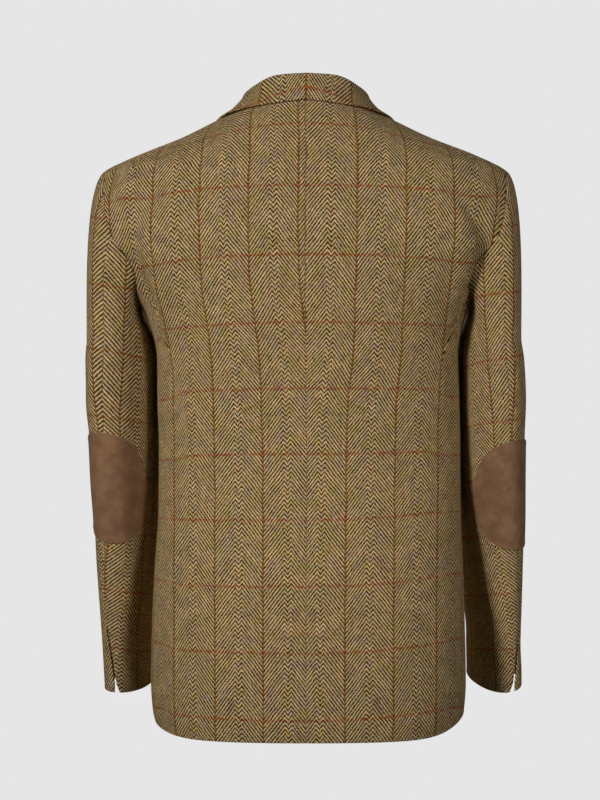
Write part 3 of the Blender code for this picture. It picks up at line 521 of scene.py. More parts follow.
def grainUpwards(points, normals, across, up, start, towards):
    # carries the grain along each column from one row on, towards the last row or the first
    level = unit(np.cross(np.array((0.0, 0.0, 1.0)), normals))
    upward = unit(np.cross(normals, level))
    forward = np.sign(np.sum(np.diff(points, axis=0)[:, start] * level[:-1, start], axis=-1).mean())
    for j in range(start + 1, points.shape[1]) if towards > 0 else range(start - 1, -1, -1):
        last = j - towards
        step = points[:, j] - points[:, last]
        across[:, j] = across[:, last] + forward * np.sum(step * (level[:, j] + level[:, last]), axis=-1) / 2
        up[:, j] = up[:, last] + np.sum(step * (upward[:, j] + upward[:, last]), axis=-1) / 2
    return across, up


def grainOutwards(points, normals, up):
    # carries the grain along each row, from the middle column out to both ends
    middle = len(points) // 2
    across, up = np.zeros(up.shape), up.copy()
    beside = unit(points[middle + 1] - points[middle - 1])
    upright = unit(np.cross(normals[middle], beside))
    upright *= np.sign(np.sum(np.gradient(points[middle], axis=0) * upright, axis=-1, keepdims=True))
    for towards in (1, -1):
        a, u = beside, upright
        for j in range(middle + towards, len(points) if towards > 0 else -1, towards):
            normal = normals[j]
            nextU = unit(u - normal * np.sum(u * normal, axis=-1, keepdims=True))
            nextA = a - normal * np.sum(a * normal, axis=-1, keepdims=True)
            nextA = unit(nextA - nextU * np.sum(nextA * nextU, axis=-1, keepdims=True))
            step = points[j] - points[j - towards]
            across[j] = across[j - towards] + np.sum(step * (a + nextA), axis=-1) / 2
            up[j] = up[j - towards] + np.sum(step * (u + nextU), axis=-1) / 2
            a, u = nextA, nextU
    return across, up


def meshOf(bm, name):
    mesh = bpy.data.meshes.new(name)
    bm.to_mesh(mesh)
    bm.free()
    return mesh


def slabMesh(name, outer, inner, across, up, steep):
    # a flat slab, extruded from a grid, whose points then take their places on the wall
    countS, countT = outer.shape[:2]
    bm = bmesh.new()
    bmesh.ops.create_grid(bm, x_segments=countS - 1, y_segments=countT - 1, size=0.5)
    made = bmesh.ops.extrude_face_region(bm, geom=bm.faces[:], use_keep_orig=True)["geom"]
    bmesh.ops.translate(bm, vec=(0, 0, 1), verts=[v for v in made if isinstance(v, bmesh.types.BMVert)])
    bmesh.ops.recalc_face_normals(bm, faces=bm.faces[:])
    mesh = meshOf(bm, name)
    flat = np.empty(len(mesh.vertices) * 3)
    mesh.vertices.foreach_get("co", flat)
    flat = flat.reshape(-1, 3)
    i = np.rint((flat[:, 0] + 0.5) * (countS - 1)).astype(int)
    j = np.rint((flat[:, 1] + 0.5) * (countT - 1)).astype(int)
    places = np.where((flat[:, 2] > 0.5)[:, None], inner[i, j], outer[i, j])
    mesh.vertices.foreach_set("co", places.ravel())
    corners = np.empty(len(mesh.loops), int)
    mesh.loops.foreach_get("vertex_index", corners)
    layer = mesh.uv_layers.new(name="cloth")
    layer.data.foreach_set("uv", np.stack((across[i, j], up[i, j]), -1)[corners].astype(np.float32).ravel())
    slopes = mesh.attributes.new("steepness", "FLOAT", "POINT")
    slopes.data.foreach_set("value", steep[i, j].astype(np.float32))
    bm = bmesh.new()
    bm.from_mesh(mesh)
    if bm.calc_volume(signed=True) < 0:
        bmesh.ops.reverse_faces(bm, faces=bm.faces[:])
    bm.to_mesh(mesh)
    bm.free()
    mesh.shade_smooth()
    return mesh


def areaOf(points):
    a = np.cross(points[1:, :-1] - points[:-1, :-1], points[:-1, 1:] - points[:-1, :-1])
    b = np.cross(points[1:, :-1] - points[1:, 1:], points[:-1, 1:] - points[1:, 1:])
    return float((np.linalg.norm(a, axis=-1) + np.linalg.norm(b, axis=-1)).sum() / 2)


def addPiece(name, mesh, material, nodes):
    piece = bpy.data.objects.new(name, mesh)
    bpy.context.scene.collection.objects.link(piece)
    mesh.materials.append(material)
    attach(piece, "root")
    if nodes:
        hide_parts(*nodes)
    return piece


def clothPiece(node, side, face, cut, place, slot="tweed", steep=None):
    cut = {**plainSet, **cut}
    columns, rows = stretches(*cut["columns"]), stretches(*cut["rows"])
    offsets = [offset * side for offset in cut["offsets"]]
    t, points, normals, outer, inner = wallPoints(face, columns, rows, offsets, cut["edges"])
    height = points[..., 2] + neckHeight
    across, up = grainOf(points, cut["level"])
    across, up = place(across, up, height, points, normals, t[0])
    slopes = steep(height) if steep else np.full(t.shape, tweedSet["slope"])
    mesh = slabMesh(node + "_cloth", outer, inner, across, up, slopes)
    piece = addPiece(node + "_cloth", mesh, materials[slot], [node])
    width, length = np.ptp(across, axis=0).max(), np.ptp(up, axis=1).max()
    print(f"{node}: width {width:.3f} length {length:.3f} area {areaOf(points):.4f}")
    return {"height": height[-1], "across": across[-1], "up": up[-1]}


# materials


def newMaterial(name):
    material = bpy.data.materials.new(name)
    material.use_nodes = True
    tree = material.node_tree
    return material, tree, tree.nodes["Principled BSDF"]


def wire(tree, node, inputs):
    # each input takes another node's output, or keeps a plain value
    for name, value in inputs.items():
        if isinstance(value, bpy.types.NodeSocket):
            tree.links.new(value, node.inputs[name])
        else:
            node.inputs[name].default_value = value


def addNode(tree, kind, inputs, **settings):
    node = tree.nodes.new("ShaderNode" + kind)
    for name, value in settings.items():
        setattr(node, name, value)
    wire(tree, node, inputs)
    return node.outputs


def sums(tree, operation, *values):
    return addNode(tree, "Math", dict(enumerate(values)), operation=operation)[0]


def times(tree, a, b):
    return sums(tree, "MULTIPLY", a, b)


def scaled(tree, value, scale, offset):
    return sums(tree, "MULTIPLY_ADD", value, scale, offset)


def between(tree, value, ends):
    # 0 below the first end, 1 above the second, eased
    inputs = {"Value": value, "From Min": ends[0], "From Max": ends[1]}
    return addNode(tree, "MapRange", inputs, interpolation_type="SMOOTHSTEP")["Result"]


def blendColours(tree, factor, a, b, kind="MIX"):
    return addNode(tree, "Mix", {"Factor": factor, 6: a, 7: b}, data_type="RGBA", blend_type=kind)[2]


def clouds(tree, vector, scale, detail=2.0, roughness=0.5):
    inputs = {"Scale": scale, "Detail": detail, "Roughness": roughness, "Vector": vector}
    return addNode(tree, "TexNoise", inputs)["Fac"]


def stretched(tree, vector, factor):
    return addNode(tree, "VectorMath", {0: vector, "Scale": factor}, operation="SCALE")[0]


def raised(tree, shader, height, strength, distance):
    bump = addNode(tree, "Bump", {"Strength": strength, "Distance": distance, "Height": height})
    wire(tree, shader, {"Normal": bump["Normal"]})


def yarnChoice(tree, value, colours):
    # one flat colour of a short list, by a random value
    ramp = tree.nodes.new("ShaderNodeValToRGB")
    ramp.color_ramp.interpolation = "CONSTANT"
    elements = ramp.color_ramp.elements
    while len(elements) < len(colours):
        elements.new(1.0)
    for k, colour in enumerate(colours):
        elements[k].position = k / len(colours)
        elements[k].color = paint(*colour)
    tree.links.new(value, ramp.inputs["Fac"])
    return ramp.outputs["Color"]


def paint(*levels):
    # a colour by its red, green and blue levels of 0 to 255, as the shader takes it
    return (*(((v / 255 + 0.055) / 1.055) ** 2.4 if v > 10 else v / 255 / 12.92 for v in levels), 1)


# Distances on the cloth are in millimetres. A noise is given by its scale, detail and
# roughness, a blend by its two ends, and a pair that scales a value by factor and offset.
tweedSet = {
    "repeat": 58.0,  # from one rust stripe to the next
    "turn": 25.0,  # from a stripe to the nearer of the two peaks between stripes
    "slope": 1.32,  # how steeply the twill climbs
    "pitch": 5.45,  # from one light line of the twill to the next
    "float": 11.0,
    "floatShare": 1.6,  # how many yarns show in turn along one float's length
    "stagger": 5.0,  # by how many yarns at most a line is shifted against the next
    "sway": 3.0,  # how far the lines wander
    "fray": 1.3,  # how much the fibres break a line's edge
    "noise": {"slow": (0.03, 1.0), "quick": (0.45, 1.0), "fibre": (1.3, 2.0, 0.7), "olive": (0.055, 2.0),
              "heather": (0.07, 2.0), "rust": (0.02, 1.0)},
    "blend": {"lighted": (0.26, 0.66), "olive": (0.50, 0.66), "heather": (0.52, 0.68), "rust": (0.42, 0.58)},
    "stripe": (0.6, 1.7),
    "stripeContrast": 0.7,
    "stripeCover": 0.85,
    "rustStretch": 0.7,
    "checkRepeat": 77.6,
    "checkAt": 26.7,
    "check": (0.9, 2.1),
    "checkFloats": (0.7, 0.15),
    "checkLines": (0.7, 0.3),
    "nap": (1.1, 0.45),
    "broad": (0.16, 0.92),
    "relief": {"lines": 0.6, "fibre": 0.5},
    "bump": (0.7, 0.0006),
    "lightYarns": (
        (206, 175, 129), (194, 168, 118), (202, 172, 130), (186, 164, 121), (211, 179, 130),
        (191, 159, 116), (184, 165, 127), (202, 169, 114), (194, 167, 133), (199, 173, 120),
    ),
    "darkYarns": ((61, 39, 8), (67, 45, 8), (55, 38, 8), (68, 42, 8), (56, 42, 10), (61, 38, 10)),
    "olive": paint(176, 162, 93),
    "oliveShare": 0.6,
    "heather": paint(170, 143, 125),
    "heatherShare": 0.55,
    "rustLight": paint(150, 84, 38),
    "rustDark": paint(92, 52, 20),
    "ochreLight": paint(150, 112, 46),
    "ochreDark": paint(92, 66, 22),
    "checkLight": paint(176, 78, 50),
    "checkDark": paint(120, 54, 26),
    "finish": {"Roughness": 0.95, "Specular IOR Level": 0.0, "Sheen Weight": 0.02, "Sheen Roughness": 0.6},
}


def tweedMaterial():
    material, tree, shader = newMaterial("tweed")
    noise, blend, sway = tweedSet["noise"], tweedSet["blend"], tweedSet["sway"]
    cloth = stretched(tree, addNode(tree, "UVMap", {}, uv_map="cloth")["UV"], 1000.0)
    steepness = addNode(tree, "Attribute", {}, attribute_name="steepness")["Fac"]
    parts = addNode(tree, "SeparateXYZ", {0: cloth})
    slow, quick, fibre = [clouds(tree, cloth, *noise[name]) for name in ("slow", "quick", "fibre")]
    across = sums(tree, "ADD", parts["X"], scaled(tree, slow, sway, -sway / 2))
    up = sums(tree, "ADD", parts["Y"], scaled(tree, quick, sway, -sway / 2))
    # the twill climbs away from each stripe, and turns twice half way to the next
    fromStripe = sums(tree, "PINGPONG", across, tweedSet["repeat"] / 2)
    fromTurn = sums(tree, "ABSOLUTE", sums(tree, "SUBTRACT", fromStripe, tweedSet["turn"]))
    climb = times(tree, sums(tree, "SUBTRACT", tweedSet["turn"], fromTurn), steepness)
    phase = sums(tree, "DIVIDE", sums(tree, "SUBTRACT", up, climb), tweedSet["pitch"])
    line = sums(tree, "FLOOR", phase)
    offCrest = sums(tree, "ABSOLUTE", scaled(tree, sums(tree, "FRACT", phase), 2.0, -1.0))
    frayed = sums(tree, "SUBTRACT", sums(tree, "SUBTRACT", 1.0, offCrest), tweedSet["fray"] / 2)
    lighted = between(tree, scaled(tree, fibre, tweedSet["fray"], frayed), blend["lighted"])
    # each line is laid of floats, and each float picks its yarn
    stagger = addNode(tree, "TexWhiteNoise", {"W": line}, noise_dimensions="1D")["Value"]
    run = sums(tree, "DIVIDE", times(tree, across, tweedSet["floatShare"]), tweedSet["float"])
    run = sums(tree, "FLOOR", sums(tree, "ADD", run, times(tree, stagger, tweedSet["stagger"])))
    place = addNode(tree, "CombineXYZ", {"X": line, "Y": run})[0]
    pick = addNode(tree, "TexWhiteNoise", {"Vector": place}, noise_dimensions="2D")
    parted = addNode(tree, "SeparateColor", {0: pick["Color"]})
    light = yarnChoice(tree, pick["Value"], tweedSet["lightYarns"])
    dark = yarnChoice(tree, parted["Blue"], tweedSet["darkYarns"])
    # the light yarn drifts to olive and to heather over a hand's breadth
    for name, vector in (("olive", cloth), ("heather", stretched(tree, cloth, -1.0))):
        drift = between(tree, clouds(tree, vector, *noise[name]), blend[name])
        light = blendColours(tree, times(tree, drift, tweedSet[name + "Share"]), light, tweedSet[name])
    colour = blendColours(tree, lighted, dark, light)
    coarse = stretched(tree, cloth, tweedSet["rustStretch"])
    rust = between(tree, clouds(tree, coarse, *noise["rust"]), blend["rust"])
    tones = [
        blendColours(tree, rust, tweedSet["ochre" + tone], tweedSet["rust" + tone])
        for tone in ("Dark", "Light")
    ]
    stripe = blendColours(tree, times(tree, lighted, tweedSet["stripeContrast"]), *tones)
    onStripe = sums(tree, "SUBTRACT", 1.0, between(tree, fromStripe, tweedSet["stripe"]))
    colour = blendColours(tree, times(tree, onStripe, tweedSet["stripeCover"]), colour, stripe)
    fromCheck = sums(tree, "SUBTRACT", up, tweedSet["checkAt"])
    fromCheck = sums(tree, "PINGPONG", fromCheck, tweedSet["checkRepeat"] / 2)
    onCheck = sums(tree, "SUBTRACT", 1.0, between(tree, fromCheck, tweedSet["check"]))
    red = blendColours(tree, lighted, tweedSet["checkDark"], tweedSet["checkLight"])
    floats = scaled(tree, parted["Green"], *tweedSet["checkFloats"])
    floats = times(tree, floats, scaled(tree, lighted, *tweedSet["checkLines"]))
    colour = blendColours(tree, times(tree, onCheck, floats), colour, red)
    shade = times(tree, scaled(tree, fibre, *tweedSet["nap"]), scaled(tree, slow, *tweedSet["broad"]))
    shade = addNode(tree, "CombineXYZ", {axis: shade for axis in "XYZ"})[0]
    colour = blendColours(tree, 1.0, colour, shade, "MULTIPLY")
    lines = times(tree, lighted, tweedSet["relief"]["lines"])
    fibres = times(tree, fibre, tweedSet["relief"]["fibre"])
    raised(tree, shader, sums(tree, "ADD", lines, fibres), *tweedSet["bump"])
    wire(tree, shader, {"Base Color": colour, **tweedSet["finish"]})
    return material


suedeSet = {
    "dark": paint(121, 88, 63), "light": paint(143, 108, 79), "patches": (55.0, 4.0, 0.6),
    "blend": (0.32, 0.70), "mark": paint(98, 68, 48), "nap": (900.0, 2.0, 0.7), "napBlend": (0.5, 0.75),
    "marked": 0.35, "bump": (0.35, 0.0003),
    "finish": {"Roughness": 0.9, "Specular IOR Level": 0.15, "Sheen Weight": 0.25, "Sheen Roughness": 0.4},
}
threadSet = {
    "dark": paint(74, 50, 32), "light": paint(112, 82, 56), "patches": (1600.0, 2.0, 0.6),
    "blend": (0.38, 0.62), "finish": {"Roughness": 0.8, "Specular IOR Level": 0.1},
}
hornSet = {
    "dark": paint(40, 26, 16), "light": paint(104, 70, 40), "patches": (260.0, 3.0, 0.6),
    "blend": (0.42, 0.72), "grain": {"Scale": (1.0, 1.0, 0.3), "Rotation": (0.0, 0.6, 0.0)},
    "finish": {"Roughness": 0.32, "Coat Weight": 0.3, "Coat Roughness": 0.25},
}


def patchyMaterial(name, look):
    # dark and light in soft patches, drawn out along a grain, or marked by a nap
    material, tree, shader = newMaterial(name)
    coords = addNode(tree, "TexCoord", {})["Object"]
    if "grain" in look:
        coords = addNode(tree, "Mapping", {"Vector": coords, **look["grain"]})["Vector"]
    patches = between(tree, clouds(tree, coords, *look["patches"]), look["blend"])
    colour = blendColours(tree, patches, look["dark"], look["light"])
    if "nap" in look:
        nap = clouds(tree, coords, *look["nap"])
        marked = times(tree, between(tree, nap, look["napBlend"]), look["marked"])
        colour = blendColours(tree, marked, colour, look["mark"])
        raised(tree, shader, nap, *look["bump"])
    wire(tree, shader, {"Base Color": colour, **look["finish"]})
    return material


materials = {"tweed": tweedMaterial()}
for name, look in (("suede", suedeSet), ("horn", hornSet), ("thread", threadSet)):
    materials[name] = patchyMaterial(name, look)
print("materials ready")


# body panels

# How far the first stripe lies from the centre back seam, on the left and on the right back.
stripeTable = readTable(
    ("height", "left", "right"),
    ((0.000, 0.0500, 0.0445), (0.120, 0.0505, 0.0448), (0.300, 0.0515, 0.0460), (0.380, 0.0525, 0.0476),
     (0.455, 0.0552, 0.0555), (0.535, 0.0639, 0.0593), (0.610, 0.0660, 0.0610), (0.700, 0.0660, 0.0612)),
)
panelRows = ((0, panelShares["joint"], panelShares["shoulder"], 1), (92, 34, 18))
backSet = {
    "columns": ((0, 1), (46,)), "rows": panelRows, "edges": ("seam", "flat", "free", "seam"),
    "flat": (0.285, 0.865), "area": 0.147,
}
sideSet = {
    "columns": ((0, 1), (26,)), "rows": ((0, 1), (92,)), "edges": ("flat", "seam", "free", "armhole"),
    "flat": (0.15, 0.55), "area": 0.070, "underarm": 33,
}
frontPanelSet = {
    "columns": ((0, 1), (54,)), "rows": panelRows, "edges": ("armhole", "free", "free", "seam"),
    "flat": (0.23, 0.87), "area": 0.154,
}


def panelEdge(t, name):
    # height and seam angle of a back's or front's side edge: side seam, armhole, shoulder seam
    turn, top = armholeSet[name + "Joint"], 2 * math.pi if name == "front" else 0.0
    low, ridge = panelShares["joint"], panelShares["shoulder"]
    plain = armhole(turn)[1] * t / low
    armAngle, armHeight = armhole(lerp(turn, top, np.clip((t - low) / (ridge - low), 0, 1)))
    ridgeHeight = lerp(armholeSet["top"], neckHeight, (t - ridge) / (1 - ridge))
    height = np.where(t <= low, plain, np.where(t <= ridge, armHeight, ridgeHeight))
    angle = np.where(t <= low, seamAngle(name, plain), np.where(t <= ridge, armAngle, math.pi / 2))
    return height, angle


def hemmed(side, angle, height, t):
    joint = panelShares["joint"]
    return height + np.where(t < joint, hemHeight(side, angle) * (1 - t / joint), 0)


def backFace(side):
    def face(s, t):
        height, edge = panelEdge(t, "back")
        offCentre = -neckSet["centreShift"] * smooth(body, "shift", height)
        angle = lerp(side * offCentre / smooth(body, "back", height), edge, s)
        height = hemmed(side, angle, height, t)
        height = height + neckSet["backRise"] * np.cos(s * math.pi / 2) ** 2 * neckPull(height)
        return torso(side, angle, height)

    return face


def underarmShares():
    turns = np.linspace(armholeSet["backJoint"], armholeSet["frontJoint"], sideSet["underarm"])
    angles, heights = armhole(turns)
    return {"share": (angles - angles[0]) / (angles[-1] - angles[0]), "height": heights}


underarm = underarmShares()


def sideFace(side):
    def face(s, t):
        angles = [seamAngle(name, armhole(armholeSet[name + "Joint"])[1] * t) for name in ("back", "front")]
        angle = lerp(angles[0], angles[1], s)
        return torso(side, angle, lerp(hemHeight(side, angle), smooth(underarm, "height", s), t))

    return face


def frontFace(side):
    def face(s, t):
        height, edge = panelEdge(t, "front")
        drop = neckHeight - neckSet["rollHeight"]
        height = height - drop * s * neckPull(height)
        low = height - drop * (1 - s) * neckPull(height)
        angle = lerp(edge, frontAngle(frontEdge(low), low), s)
        return clothFront(side, angle, hemmed(side, angle, height, t))

    return face


# How far the check lines hang below a level line at the centre back, and well out to each side.
droopTable = readTable(
    ("height", "centre", "left", "right"),
    ((0.027, 0.0022, -0.0010, -0.0060), (0.105, 0.0018, 0.0000, -0.0070), (0.181, 0.0021, 0.0022, -0.0070),
     (0.260, 0.0014, 0.0025, -0.0066), (0.337, 0.0014, 0.0046, -0.0012), (0.412, 0.0020, 0.0070, 0.0034),
     (0.489, 0.0014, 0.0082, 0.0050), (0.567, 0.0000, 0.0050, 0.0032), (0.648, -0.0044, 0.0010, -0.0010)),
)
droopSet = {"reach": 0.150, "most": 1.2, "seamFrom": 0.42, "seamOver": 0.10}
carrySet = {"before": 2, "fewest": 4}  # rows below a panel's corner, and rows left above it


def backGrain(name):
    def place(across, up, height, points, normals, rows):
        share = np.minimum(droopSet["most"], np.abs(points[..., 0]) / droopSet["reach"]) ** 2
        droop = lerp(smooth(droopTable, "centre", height), smooth(droopTable, name, height), share)
        first = smooth(stripeTable, name, height)
        fromFirst = across - first
        if name == "right":
            # above the waist this seam is cut along a stripe
            hidden = (across / first - 1) * tweedSet["repeat"] / 1000
            above = eased((height - droopSet["seamFrom"]) / droopSet["seamOver"])
            fromFirst = np.where(fromFirst < 0, lerp(fromFirst, hidden, above), fromFirst)
        return fromFirst, up + droop

    return place


def carriedOn(edge):
    # goes on from another panel's edge, so that the stripes and checks meet at the seam
    def place(across, up, height, points, normals, rows):
        order = np.argsort(edge["height"])
        beside, carried = [
            np.interp(height[0], edge["height"][order], edge[name][order]) for name in ("across", "up")
        ]
        across, up = across + beside, up - up[:1] + carried
        last = int(np.searchsorted(height[0], edge["height"].max())) - carrySet["before"]
        if last < height.shape[1] - carrySet["fewest"]:
            across, up = grainUpwards(points, normals, across, up, last, 1)
        return across, up

    return place


def shifted(distance):
    def place(across, up, height, points, normals, rows):
        return across + distance, up

    return place


for name, side in sides.items():
    edge = clothPiece("back_" + name, side, backFace(side), backSet, backGrain(name))
    edge = clothPiece("side_" + name, side, sideFace(side), sideSet, carriedOn(edge))
    clothPiece("front_" + name, side, frontFace(side), frontPanelSet, carriedOn(edge))
print("body panels ready")


# sleeves and elbow patches

bothSleeveSet = {
    "rows": ((0, sleeveSet["capShare"], 1), (40, 84)), "edges": ("seam", "seam", "armhole", "free"),
    "level": 0.40,
}
topSleeveSet = {**bothSleeveSet, "columns": ((0, 1), (44,)), "flat": (0.22, 0.647), "area": 0.107}
underSleeveSet = {**bothSleeveSet, "columns": ((0, 1), (36,)), "flat": (0.176, 0.584), "area": 0.0795}
patchSet = {
    "halfHeight": 0.0665, "halfWidth": 0.066, "lean": 0.012, "walk": (-1, 0.7, 240),
    "offsets": (-0.0017, -0.0004), "rows": ((0, 1), (40,)), "edges": ("free",) * 4,
    "flat": (0.134, 0.135), "area": 0.0140, "shift": 0.0,
}
patchPlace = {
    "Left": {"height": 0.294, "turn": math.radians(86.4)},
    "Right": {"height": 0.286, "turn": math.radians(67.0)},
}


def sleeveFace(side, top):
    def face(s, t):
        turn = sleeveTurn(side, s - 1 if top else s, t)
        near = ventSet["near"]
        away = -eased(s * near - (near - 1)) if top else eased(1 - s * near)
        return sleeve(side, partedTurn(side, turn, t, away), t)

    return face


# How far the hindarm seam lies past a stripe on each sleeve, how far up its cloth each
# height of the seam lies, and how much the sleeve's cloth is turned.
sleeveGrainTable = readTable(
    ("height", "underLeft", "underRight", "topLeft", "topRight", "upLeft", "upRight", "steepLeft",
     "steepRight"),
    (
        (0.040, 0.030, 0.038, 0.040, 0.040, 0.0410, 0.0440, 1.00, 1.20),
        (0.100, 0.017, 0.022, 0.037, 0.036, 0.1055, 0.1059, 1.00, 1.20),
        (0.172, -0.001, 0.004, 0.030, 0.030, 0.1825, 0.1835, 1.00, 1.20),
        (0.210, -0.003, 0.001, 0.022, 0.020, 0.2250, 0.2260, 0.98, 1.20),
        (0.300, -0.013, -0.016, 0.000, 0.004, 0.3260, 0.3300, 0.92, 1.20),
        (0.377, -0.021, -0.022, -0.008, -0.003, 0.4130, 0.4180, 0.86, 1.20),
        (0.455, -0.0255, -0.025, -0.015, -0.010, 0.4905, 0.4990, 0.84, 1.20),
        (0.535, -0.026, -0.025, -0.016, -0.012, 0.5700, 0.5830, 0.95, 1.20),
    ),
)
sleeveTurned = {"height": (0.20, 0.45), "turn": (0.06, 0.14)}


def sleeveGrain(side, top):
    name = ("top" if top else "under") + sideNames[side]
    seam, sign = (-1, -1) if top else (0, 1)

    def place(across, up, height, points, normals, rows):
        if top:
            across = across[-1:] - across
        atSeam = height[seam][None, :]
        turned = np.interp(atSeam, sleeveTurned["height"], sleeveTurned["turn"]) * sign * across
        across = across + smooth(sleeveGrainTable, name, atSeam)
        up = up - up[seam][None, :] + smooth(sleeveGrainTable, "up" + sideNames[side], atSeam) + turned
        start = int(np.searchsorted(rows, sleeveSet["capShare"] - 1e-9))
        across, up = grainUpwards(points, normals, sign * across, up, start, -1)
        return sign * across, up

    return place


def sleeveSteepness(side):
    return lambda height: smooth(sleeveGrainTable, "steep" + sideNames[side], height)


def walked(points):
    # the way along a line of points from its first
    return np.concatenate(((0,), np.cumsum(lengthBetween(points[1:], points[:-1]))))


def armDown(side, height, turn):
    share = (sleeveSet["bicep"] - height) / (sleeveSet["bicep"] - cuffHeight(side, turn))
    return lerp(sleeveSet["capShare"], 1, share)


def patchFace(side):
    place = patchPlace[sideNames[side]]
    downMiddle = armDown(side, place["height"], math.pi / 2)
    columns = np.linspace(*patchSet["walk"])
    turns = sleeveTurn(side, columns, downMiddle)
    walk = walked(sleeve(side, turns, downMiddle))
    middle = np.interp(place["turn"], turns, walk)

    def face(s, t):
        p, q = 2 * s - 1, 1 - 2 * t
        rise = q * np.sqrt(1 - p * p / 2)
        arc = middle + p * np.sqrt(1 - q * q / 2) * patchSet["halfWidth"] - patchSet["lean"] * rise
        height = place["height"] + rise * patchSet["halfHeight"]
        turn = sleeveTurn(side, np.interp(arc, walk, columns), armDown(side, height, math.pi / 2))
        return sleeve(side, turn, armDown(side, height, turn))

    return face


stitchSet = {
    "inset": 0.055, "spacing": 0.0031, "length": 0.0011, "width": 0.00032, "height": 0.00026,
    "sink": 0.0001, "points": 1200, "step": 1e-3,
}


def stitched(face, side, name):
    # one stitch after another, a little inside the edge
    walk = np.linspace(0, 4, stitchSet["points"], endpoint=False)
    part, along = np.floor(walk).astype(int), walk % 1 * 2 - 1
    ones = np.ones(along.shape)
    p = np.choose(part, (along, ones, -along, -ones)) * (1 - stitchSet["inset"])
    q = np.choose(part, (ones, -along, -ones, along)) * (1 - stitchSet["inset"])
    s, t = (p + 1) / 2, (q + 1) / 2
    line = face(s, t)
    lengths = walked(np.vstack((line, line[:1])))
    count = int(lengths[-1] / stitchSet["spacing"])
    at = np.arange(count) / count * lengths[-1]
    places, outs = [
        np.stack([np.interp(at, lengths, np.append(values[:, k], values[0, k])) for k in range(3)], -1)
        for values in (line, normalsOf(face, s, t, stitchSet["step"]) * -side)
    ]
    runs = unit(np.roll(places, -1, axis=0) - np.roll(places, 1, axis=0))
    bm = bmesh.new()
    for place, out, run in zip(places, unit(outs), runs):
        matrix = np.eye(4)
        matrix[:3, 0] = run * stitchSet["length"]
        matrix[:3, 1] = np.cross(out, run) * stitchSet["width"]
        matrix[:3, 2] = out * stitchSet["height"]
        matrix[:3, 3] = place - out * (patchSet["offsets"][0] + stitchSet["sink"])
        bmesh.ops.create_icosphere(bm, subdivisions=1, radius=1.0, matrix=Matrix(matrix.tolist()))
    bmesh.ops.recalc_face_normals(bm, faces=bm.faces[:])
    mesh = meshOf(bm, name)
    mesh.shade_smooth()
    print(name, count, "stitches")
    return addPiece(name, mesh, materials["thread"], [])


for name, side in sides.items():
    for kind, cut in (("top", topSleeveSet), ("under", underSleeveSet)):
        face, grain = sleeveFace(side, kind == "top"), sleeveGrain(side, kind == "top")
        clothPiece(f"{kind}_sleeve_{name}", side, face, cut, grain, steep=sleeveSteepness(side))
    clothPiece("elbow_patch_" + name, side, patchFace(side), patchSet, shifted(patchSet["shift"]),
               slot="suede")
    stitched(patchFace(side), side, "elbow_stitches_" + name)
print("sleeves ready")


# collar and lapels

collarTable = readTable(
    ("angle", "fold", "edgeAngle", "edge", "middleLift", "edgeLift"),
    (
        (0, 0.7804, 0, 0.7520, 0.0072, 0.0024),
        (30, 0.7790, 31, 0.7475, 0.0066, 0.0028),
        (60, 0.7685, 61, 0.7430, 0.0054, 0.0030),
        (90, 0.7585, 90, 0.7375, 0.0052, 0.0030),
        (105, 0.7490, 104, 0.7240, 0.0075, 0.0026),
        (118, 0.7330, 110, 0.7100, 0.0060, 0.0028),
        (128, 0.7185, 113.9, 0.7000, 0.0050, 0.0030),
    ),
)
collarSet = {
    "radius": 0.0030, "seat": 0.0004, "offsets": (-0.0012, 0.0012), "columns": ((0, 1), (151,)),
    "rows": ((0, 0.30, 0.50, 1), (8, 8, 16)),  # the stand, the fold and the fall
    "edges": ("free", "free", "seam", "free"), "flat": (0.45, 0.07), "area": 0.0265, "level": 0.75,
    "grainRow": 0.75, "grainPeak": 0.0955, "grainFalls": 0.012, "grainReach": 0.058,
}
gorgeSet = {"share": 0.6, "drop": 0.018, "turn": math.radians(4.3), "from": 105, "to": 128}
lapelSet = {
    "notchShare": 0.56, "notchDrop": 0.005, "peakAcross": 0.143, "peakHeight": 0.678, "belly": 0.014,
    "radiusBreak": 0.0014, "radiusTop": 0.0035, "growFrom": 0.47, "growTo": 0.58, "edgeLift": 0.0018,
    "clear": 0.0005, "offsets": (-clothThickness / 2, clothThickness / 2),
    "columns": ((0, 0.25, 1), (9, 22)),  # the fold, then what lies on the front
    "rows": ((0.03, 0.996), (90,)), "edges": ("free",) * 4, "flat": (0.096, 0.363), "area": 0.021,
    "shift": 0.010,
}


def tent(share, peak):
    return np.where(share < peak, share / peak, (1 - share) / (1 - peak))


